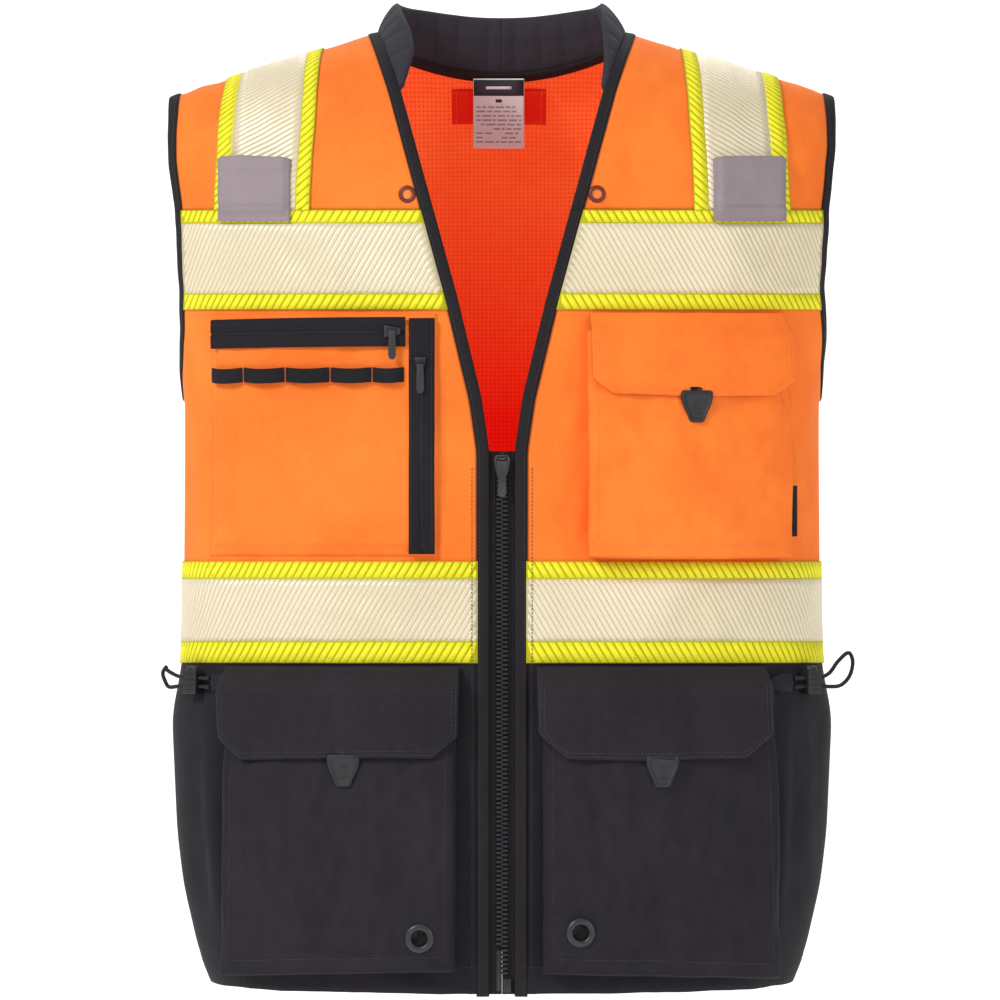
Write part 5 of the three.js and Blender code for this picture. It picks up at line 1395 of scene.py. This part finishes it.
def bellows(name, sx, x0, x1, zm, zb, cloth_m, slot, node, mover, folds=(), hole=None, thread="thread_black", seed=0.0, key="bag"):
    lo, hi = min(sx * x0, sx * x1), max(sx * x0, sx * x1)
    wi, wd = np.array([q[0] for q in WALL]), np.array([q[1] for q in WALL])
    nx, nz = 50, 58
    xi_ = np.linspace(lo + 2.6, hi - 2.6, nx)
    X = np.concatenate([lo + wi, xi_, (hi - wi)[::-1]])
    Dx = np.concatenate([wd, np.full(nx, 17.7), wd[::-1]])
    zi = np.linspace(zm, zb + 2.6, nz)
    Z = np.concatenate([zi, (zb + wi)[::-1]])
    Dz = np.concatenate([np.full(nz, 17.7), wd[::-1]])
    XX, ZZ = np.meshgrid(X, Z)
    D = np.minimum(Dx[None, :], Dz[:, None])
    v = np.clip((zm - ZZ) / (zm - zb), 0, 1)
    u = np.clip((XX - lo) / (hi - lo), 0, 1)
    Fv = mix(0.5, 1.0, sstep(0, 0.5, v))
    e = np.minimum(np.minimum(XX - lo, hi - XX), ZZ - zb)
    face = sstep(1.5, 14, e)
    crease = 1.7 * pn(XX / 27 + seed, ZZ / 40) + 0.9 * pn(XX / 11 + seed, ZZ / 16) + 0.3 * pn(XX / 5 + seed, ZZ / 7)
    for f in folds:
        crease = crease + line_fold(XX, ZZ, *f)
    puff = 1.6 * np.sin(math.pi * u) * sstep(0.1, 0.75, v)
    if hole:
        crease = crease * (1 - np.exp(-(np.hypot(XX - sx * hole[0] if hole[0] * sx > 0 else XX - hole[0], ZZ - hole[1]) / 17) ** 4))
    groove = -0.4 * (np.exp(-((e - 4.2) / 0.8) ** 2)) * (D > 17)
    # corners pull in a little, and the lower edge hangs
    sag = -1.1 * np.sin(math.pi * u) * sstep(0.9, 1.0, v)
    D = D * Fv + (crease + puff) * face + groove
    D = np.maximum(D, 1.3)
    P, N = SN(-1, XX, ZZ)
    w = wrinkle(-1, P)
    G = P + N * (D + w)[..., None]
    G[..., 2] += sag
    G[..., 0] += 0.5 * pn(ZZ / 16 + seed, D / 9) * (1 - face)
    M_ = free_normals(G)
    M_ *= np.sign((M_ * N).sum(-1, keepdims=True) + 1e-3)
    skip = None
    if hole:
        hp, _ = SN(-1, sx * hole[0], hole[1])
        skip = (np.hypot(XX - hp[0], G[..., 2] - hp[2]) < 6.4) & (D > 12)
    uv = np.stack([XX + D * 0.6, ZZ + D * 0.6], -1)
    ob = shell(name, G, M_, -1.0, 0.0, cloth_m, uv, skip=skip)
    done(ob, slot, node)
    mover(ob)
    i_b = nz - 3
    L = len(WALL)
    for j in (L + 1, L + nx - 2):
        stitch((key, mover), (G + M_ * 0.15)[6:i_b, j], M_[6:i_b, j], thread)
    stitch((key, mover), (G + M_ * 0.15)[i_b, L + 2:L + nx - 2], M_[i_b, L + 2:L + nx - 2], thread)

    def depth_at(x, z):
        """The outer face's distance from the surface at x, z0."""
        i = int(np.clip(np.searchsorted(-Z[:nz], -z), 0, nz - 1))
        j = int(np.clip(np.searchsorted(X[L:L + nx], x), 0, nx - 1)) + L
        return float(D[i, j])
    return depth_at


def flap(name, sx, x0, x1, zt, zbm, D, cut, cloth_m, slot, node, body, thread, key, seed=0.0):
    lo, hi = min(sx * x0, sx * x1), max(sx * x0, sx * x1)
    nu, nv = 60, 34
    x = np.concatenate([[lo], np.linspace(lo + 1.2, hi - 1.2, nu), [hi]])
    edge = np.minimum(x - lo, hi - x)
    bottom = zbm + cut[1] * np.clip(1 - edge / cut[0], 0, 1) + 0.8 * np.sin((x - lo) / 31 + seed) - 0.6 * np.exp(-((x - (lo + hi) / 2) / 20) ** 2)
    v = np.linspace(0, 1, nv)
    ZZ = mix(zt, bottom[None, :], v[:, None])
    XX = np.tile(x[None, :], (nv, 1))
    # the sides fall in slightly below the fold
    XX = XX + (np.sign((lo + hi) / 2 - XX)) * 0.7 * sstep(0.2, 1.0, v)[:, None] * (edge[None, :] < 3)
    drop = zt - ZZ
    d = mix(2.4, D, sstep(-3, 19, drop)) + 1.6 * sstep(10, 45, drop)
    e = np.minimum(np.minimum(edge[None, :] + 0 * ZZ, (ZZ - bottom[None, :])), 30)
    wave = 0.9 * pn(XX / 24 + seed, ZZ / 30) + 0.4 * pn(XX / 10, ZZ / 9 + seed) + 0.8 * np.sin((XX - lo) / 26 + seed) * sstep(20, 55, drop)
    d = d + wave * sstep(4, 22, drop) - 1.1 * sstep(7, 0, e) * sstep(6, 20, drop) - 0.3 * np.exp(-((e - 5.0) / 0.8) ** 2)
    P, N = SN(-1, XX, ZZ)
    w = wrinkle(-1, P)
    th = 1.7 - 0.55 * (e < 0.6)
    ob = shell(name, P, N, d + w, d + w + th, cloth_m, np.stack([XX, ZZ], -1))
    done(ob, slot, node)
    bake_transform(ob)
    # two lines of stitches inside the free edges
    for off, from_v in ((5.0, 0.22), (2.2, 0.3)):
        pts = []
        zs_ = np.linspace(zt - 14, zbm + cut[1] + off * 0.4, 16)
        pts += [(lo + off, q) for q in zs_]
        xs_ = np.linspace(lo + off, lo + cut[0] + off * 0.3, 6)[1:]
        pts += [(q, np.interp(q, x, bottom) + off) for q in xs_]
        xm = np.linspace(lo + cut[0] + off * 0.3, hi - cut[0] - off * 0.3, 40)[1:-1]
        pts += [(q, np.interp(q, x, bottom) + off) for q in xm]
        pts += [(q, np.interp(q, x, bottom) + off) for q in np.linspace(hi - cut[0] - off * 0.3, hi - off, 6)[:-1]]
        pts += [(hi - off, q) for q in zs_[::-1]]
        pts = np.array(pts)
        fi = np.clip((zt - pts[:, 1]) / (zt - np.interp(pts[:, 0], x, bottom)), 0, 1) * (nv - 1)
        fj = np.interp(pts[:, 0], x, np.arange(len(x)))
        i0, j0 = np.minimum(fi.astype(int), nv - 2), np.minimum(fj.astype(int), len(x) - 2)
        a, b = fi - i0, fj - j0
        dd = d + w + th
        val = dd[i0, j0] * (1 - a) * (1 - b) + dd[i0 + 1, j0] * a * (1 - b) + dd[i0, j0 + 1] * (1 - a) * b + dd[i0 + 1, j0 + 1] * a * b
        Pq, Nq = SN(-1, pts[:, 0], pts[:, 1])
        stitch((key, lambda o, b_=body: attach(o, b_)), Pq + Nq * (val + 0.05)[:, None], Nq, thread)
    return lambda xq, zq: float(np.interp(xq, x, (d + w + th)[nv - 2]))


def shield(name, node, body, x, z, dep):
    """A moulded pull tab: a shield with a raised rim and a sunk middle."""
    P, N = SN(-1, x, z)
    n = N.copy(); n[2] = 0; n /= np.linalg.norm(n)
    ax, ay, az = frame_at(P, n)
    p = P + n * dep
    out = [(-12.5, 3.5), (12.5, 3.5), (12.5, -2.5), (10.5, -8.5), (7.0, -15.5), (5.6, -20.5), (-5.6, -20.5), (-7.0, -15.5), (-10.5, -8.5), (-12.5, -2.5)]
    rings = [(0.5, -0.9), (0, -0.5), (0, 1.3), (0.6, 2.1), (1.9, 2.3), (2.7, 1.5), (3.2, 1.2), (7.4, 1.45), (9.6, 1.5)]
    loop = [(-6, 3.0), (6, 3.0), (6, 9.5), (-6, 9.5)]
    parts = [plate(out, rings, p, ax, ay, az), plate(loop, [(0, -0.6), (0, 0.5), (0.6, 0.9), (1.6, 1.0)], p, ax, ay, az, 1)]
    for h in (-13.5, -9.5, -5.5):
        parts.append(plate([(-3.4, h - 0.55), (3.4, h - 0.55), (3.4, h + 0.55), (-3.4, h + 0.55)], [(0, 1.2), (0, 1.75), (0.25, 1.95)], p, ax, ay, az))
    V, F, U, M = join_arrays(parts)
    ob = add_mesh(name, V, F, [MAT["rubber"], MAT["zip_tape"]], U, M)
    smooth_by_angle(ob, 50)
    done(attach(ob, body), "pull_rubber", node)


LF = [((85, -300), (140, -398), 8, 1.3), ((195, -270), (160, -392), 8, 1.2), ((75, -392), (205, -386), 6, 0.9)]
bellows("left_chest_pocket_bag", 1, 65, 210, -236, -404, MAT["orange"], "orange_cloth", "left_chest_pocket", ride_l, LF, thread="thread_orange", seed=3.1, key="lchest")
fl = flap("left_chest_flap_cloth", 1, 66, 212, -222.5, -284, 15.6, (15, 12), MAT["orange"], "orange_cloth", "left_chest_flap", "left_chest_flap", "thread_orange", "lchest_flap", 1.7)
shield("left_chest_pull", "left_chest_flap_pull", "left_chest_flap", 142, -284.5, fl(142, 0) + 0.3)

RL = [((-190, -572), (-158, -628), 7, -2.6), ((-97, -582), (-128, -705), 9, -2.8), ((-60, -560), (-100, -600), 7, -2.2), ((-196, -676), (-176, -700), 6, -1.8), ((-195, -690), (-70, -703), 7, 1.1), ((-160, -600), (-140, -700), 12, 1.8)]
bellows("right_lower_pocket_bag", -1, 36, 203, -500, -713, MAT["black_bag"], "black_cloth", "right_lower_pocket", ride_r, RL, (60, -689), seed=7.7, key="rlow")
fl = flap("right_lower_flap_cloth", -1, 32, 208, -487.5, -555.5, 15.8, (19, 17), MAT["black_bag"], "black_cloth", "right_lower_flap", "right_lower_flap", "thread_black", "rlow_flap", 4.2)
shield("right_lower_pull", "right_lower_flap_pull", "right_lower_flap", -116, -556, fl(-116, 0) - 1.6)

LL = [((188, -572), (150, -640), 7, -2.4), ((98, -582), (128, -700), 9, -2.6), ((60, -560), (84, -606), 7, -2.0), ((60, -700), (190, -690), 7, 1.1), ((160, -610), (140, -700), 12, 1.8)]
bellows("left_lower_pocket_bag", 1, 32, 201, -500, -715, MAT["black_bag"], "black_cloth", "left_lower_pocket", ride_l, LL, (57.5, -685), seed=12.4, key="llow")
fl = flap("left_lower_flap_cloth", 1, 26, 198, -487.5, -556, 15.8, (21, 19), MAT["black_bag"], "black_cloth", "left_lower_flap", "left_lower_flap", "thread_black", "llow_flap", 8.8)
shield("left_lower_pull", "left_lower_flap_pull", "left_lower_flap", 117, -556.5, fl(117, 0) - 1.6)

for nm, node, body, x, z in (("right_pocket_eyelet_ring", "right_pocket_eyelet", "right_front", -60, -689), ("left_pocket_eyelet_ring", "left_pocket_eyelet", "left_front", 57.5, -685)):
    P, N = SN(-1, x, z)
    base = P + N * (18.9 + float(wrinkle(-1, P[None])[0]))
    parts = [lathe("", base, N, [(6.3, -2.4), (6.1, 1.2), (6.7, 2.1), (8.0, 2.6), (9.6, 2.2), (10.8, 1.2), (11.1, 0.2), (10.6, -0.4), (7.0, -0.6)], None),
             disc(base, N, 6.6, -2.0)]
    V, F, U, M = join_arrays(parts)
    ob = add_mesh(nm, V, F, [MAT["dark_metal"], MAT["zip_tape"]], U, M)
    done(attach(ob, body), "eyelet_brass", node)

# a folded side tag on the wearer's left chest pocket, left blank
tz = np.linspace(-352, -390, 20)
q = np.linspace(0, 1, 8)
P, N = SN(-1, 209.5 + 0 * tz, tz)
tdir = np.cross(N, np.gradient(P, axis=0)); tdir /= np.linalg.norm(tdir, axis=1, keepdims=True)
tdir *= np.sign(tdir[:, :1])
G = P[:, None, :] + N[:, None, :] * (13.0 + 1.2 * np.sin(q * 3)[None, :, None]) + tdir[:, None, :] * (8.5 * q)[None, :, None]
TN = np.repeat(N[:, None, :], 8, 1)
ob = shell("left_chest_side_tag", G, TN, 0.0, 1.0, MAT["zip_tape"], np.stack(np.broadcast_arrays(q[None, :] * 8, tz[:, None]), -1).astype(float))
ride_l(ob)

# ------------------------------------------------------------------ stage and light
def cyc():
    prof = [(-6.0, -1.70)]
    for a in np.linspace(0, math.pi / 2, 18):
        prof.append((3.0 + 1.6 * math.sin(a), -1.70 + 1.6 * (1 - math.cos(a))))
    prof.append((4.6, 6.0))
    prof = np.array(prof)
    V = [(x * 1000, y * 1000, z * 1000) for x in (-9.0, 9.0) for y, z in prof]
    n = len(prof)
    F = [(i, i + 1, n + i + 1, n + i) for i in range(n - 1)]
    m = Nodes("studio_paper", rough=0.95, spec=0.1)
    t = m.noise(1.2, 3)
    m.colour(m.mix(t, (0.87, 0.87, 0.875, 1), (0.89, 0.89, 0.89, 1)))
    m.b.inputs["Emission Color"].default_value = (1, 1, 1, 1)
    m.b.inputs["Emission Strength"].default_value = 0.42
    ob = add_mesh("studio_floor", np.array(V), F, m.m, fix=False)
    return ob


cyc()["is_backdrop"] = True


def area(name, loc, target, size, power, colour=(1, 1, 1)):
    d = bpy.data.lights.new(name, "AREA")
    d.shape = "RECTANGLE"
    d.size, d.size_y = size
    d.energy = power
    d.color = colour
    o = bpy.data.objects.new(name, d)
    o.location = loc
    o.rotation_euler = (Vector(target) - Vector(loc)).to_track_quat("-Z", "Y").to_euler()
    scene.collection.objects.link(o)


area("key", (-2.3, -2.1, 1.7), (0, 0, -0.35), (1.0, 1.0), 88)
area("fill", (2.4, -2.6, 0.5), (0, 0, -0.4), (2.0, 2.0), 30)
area("back_rim", (0.3, 2.4, 2.2), (0, 0, -0.2), (2.4, 1.6), 30)
world = bpy.data.worlds.new("studio")
world.use_nodes = True
world.node_tree.nodes["Background"].inputs[0].default_value = (1, 1, 1, 1)
world.node_tree.nodes["Background"].inputs[1].default_value = 0.46
scene.world = world

flush_stitches()

lo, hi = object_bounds()
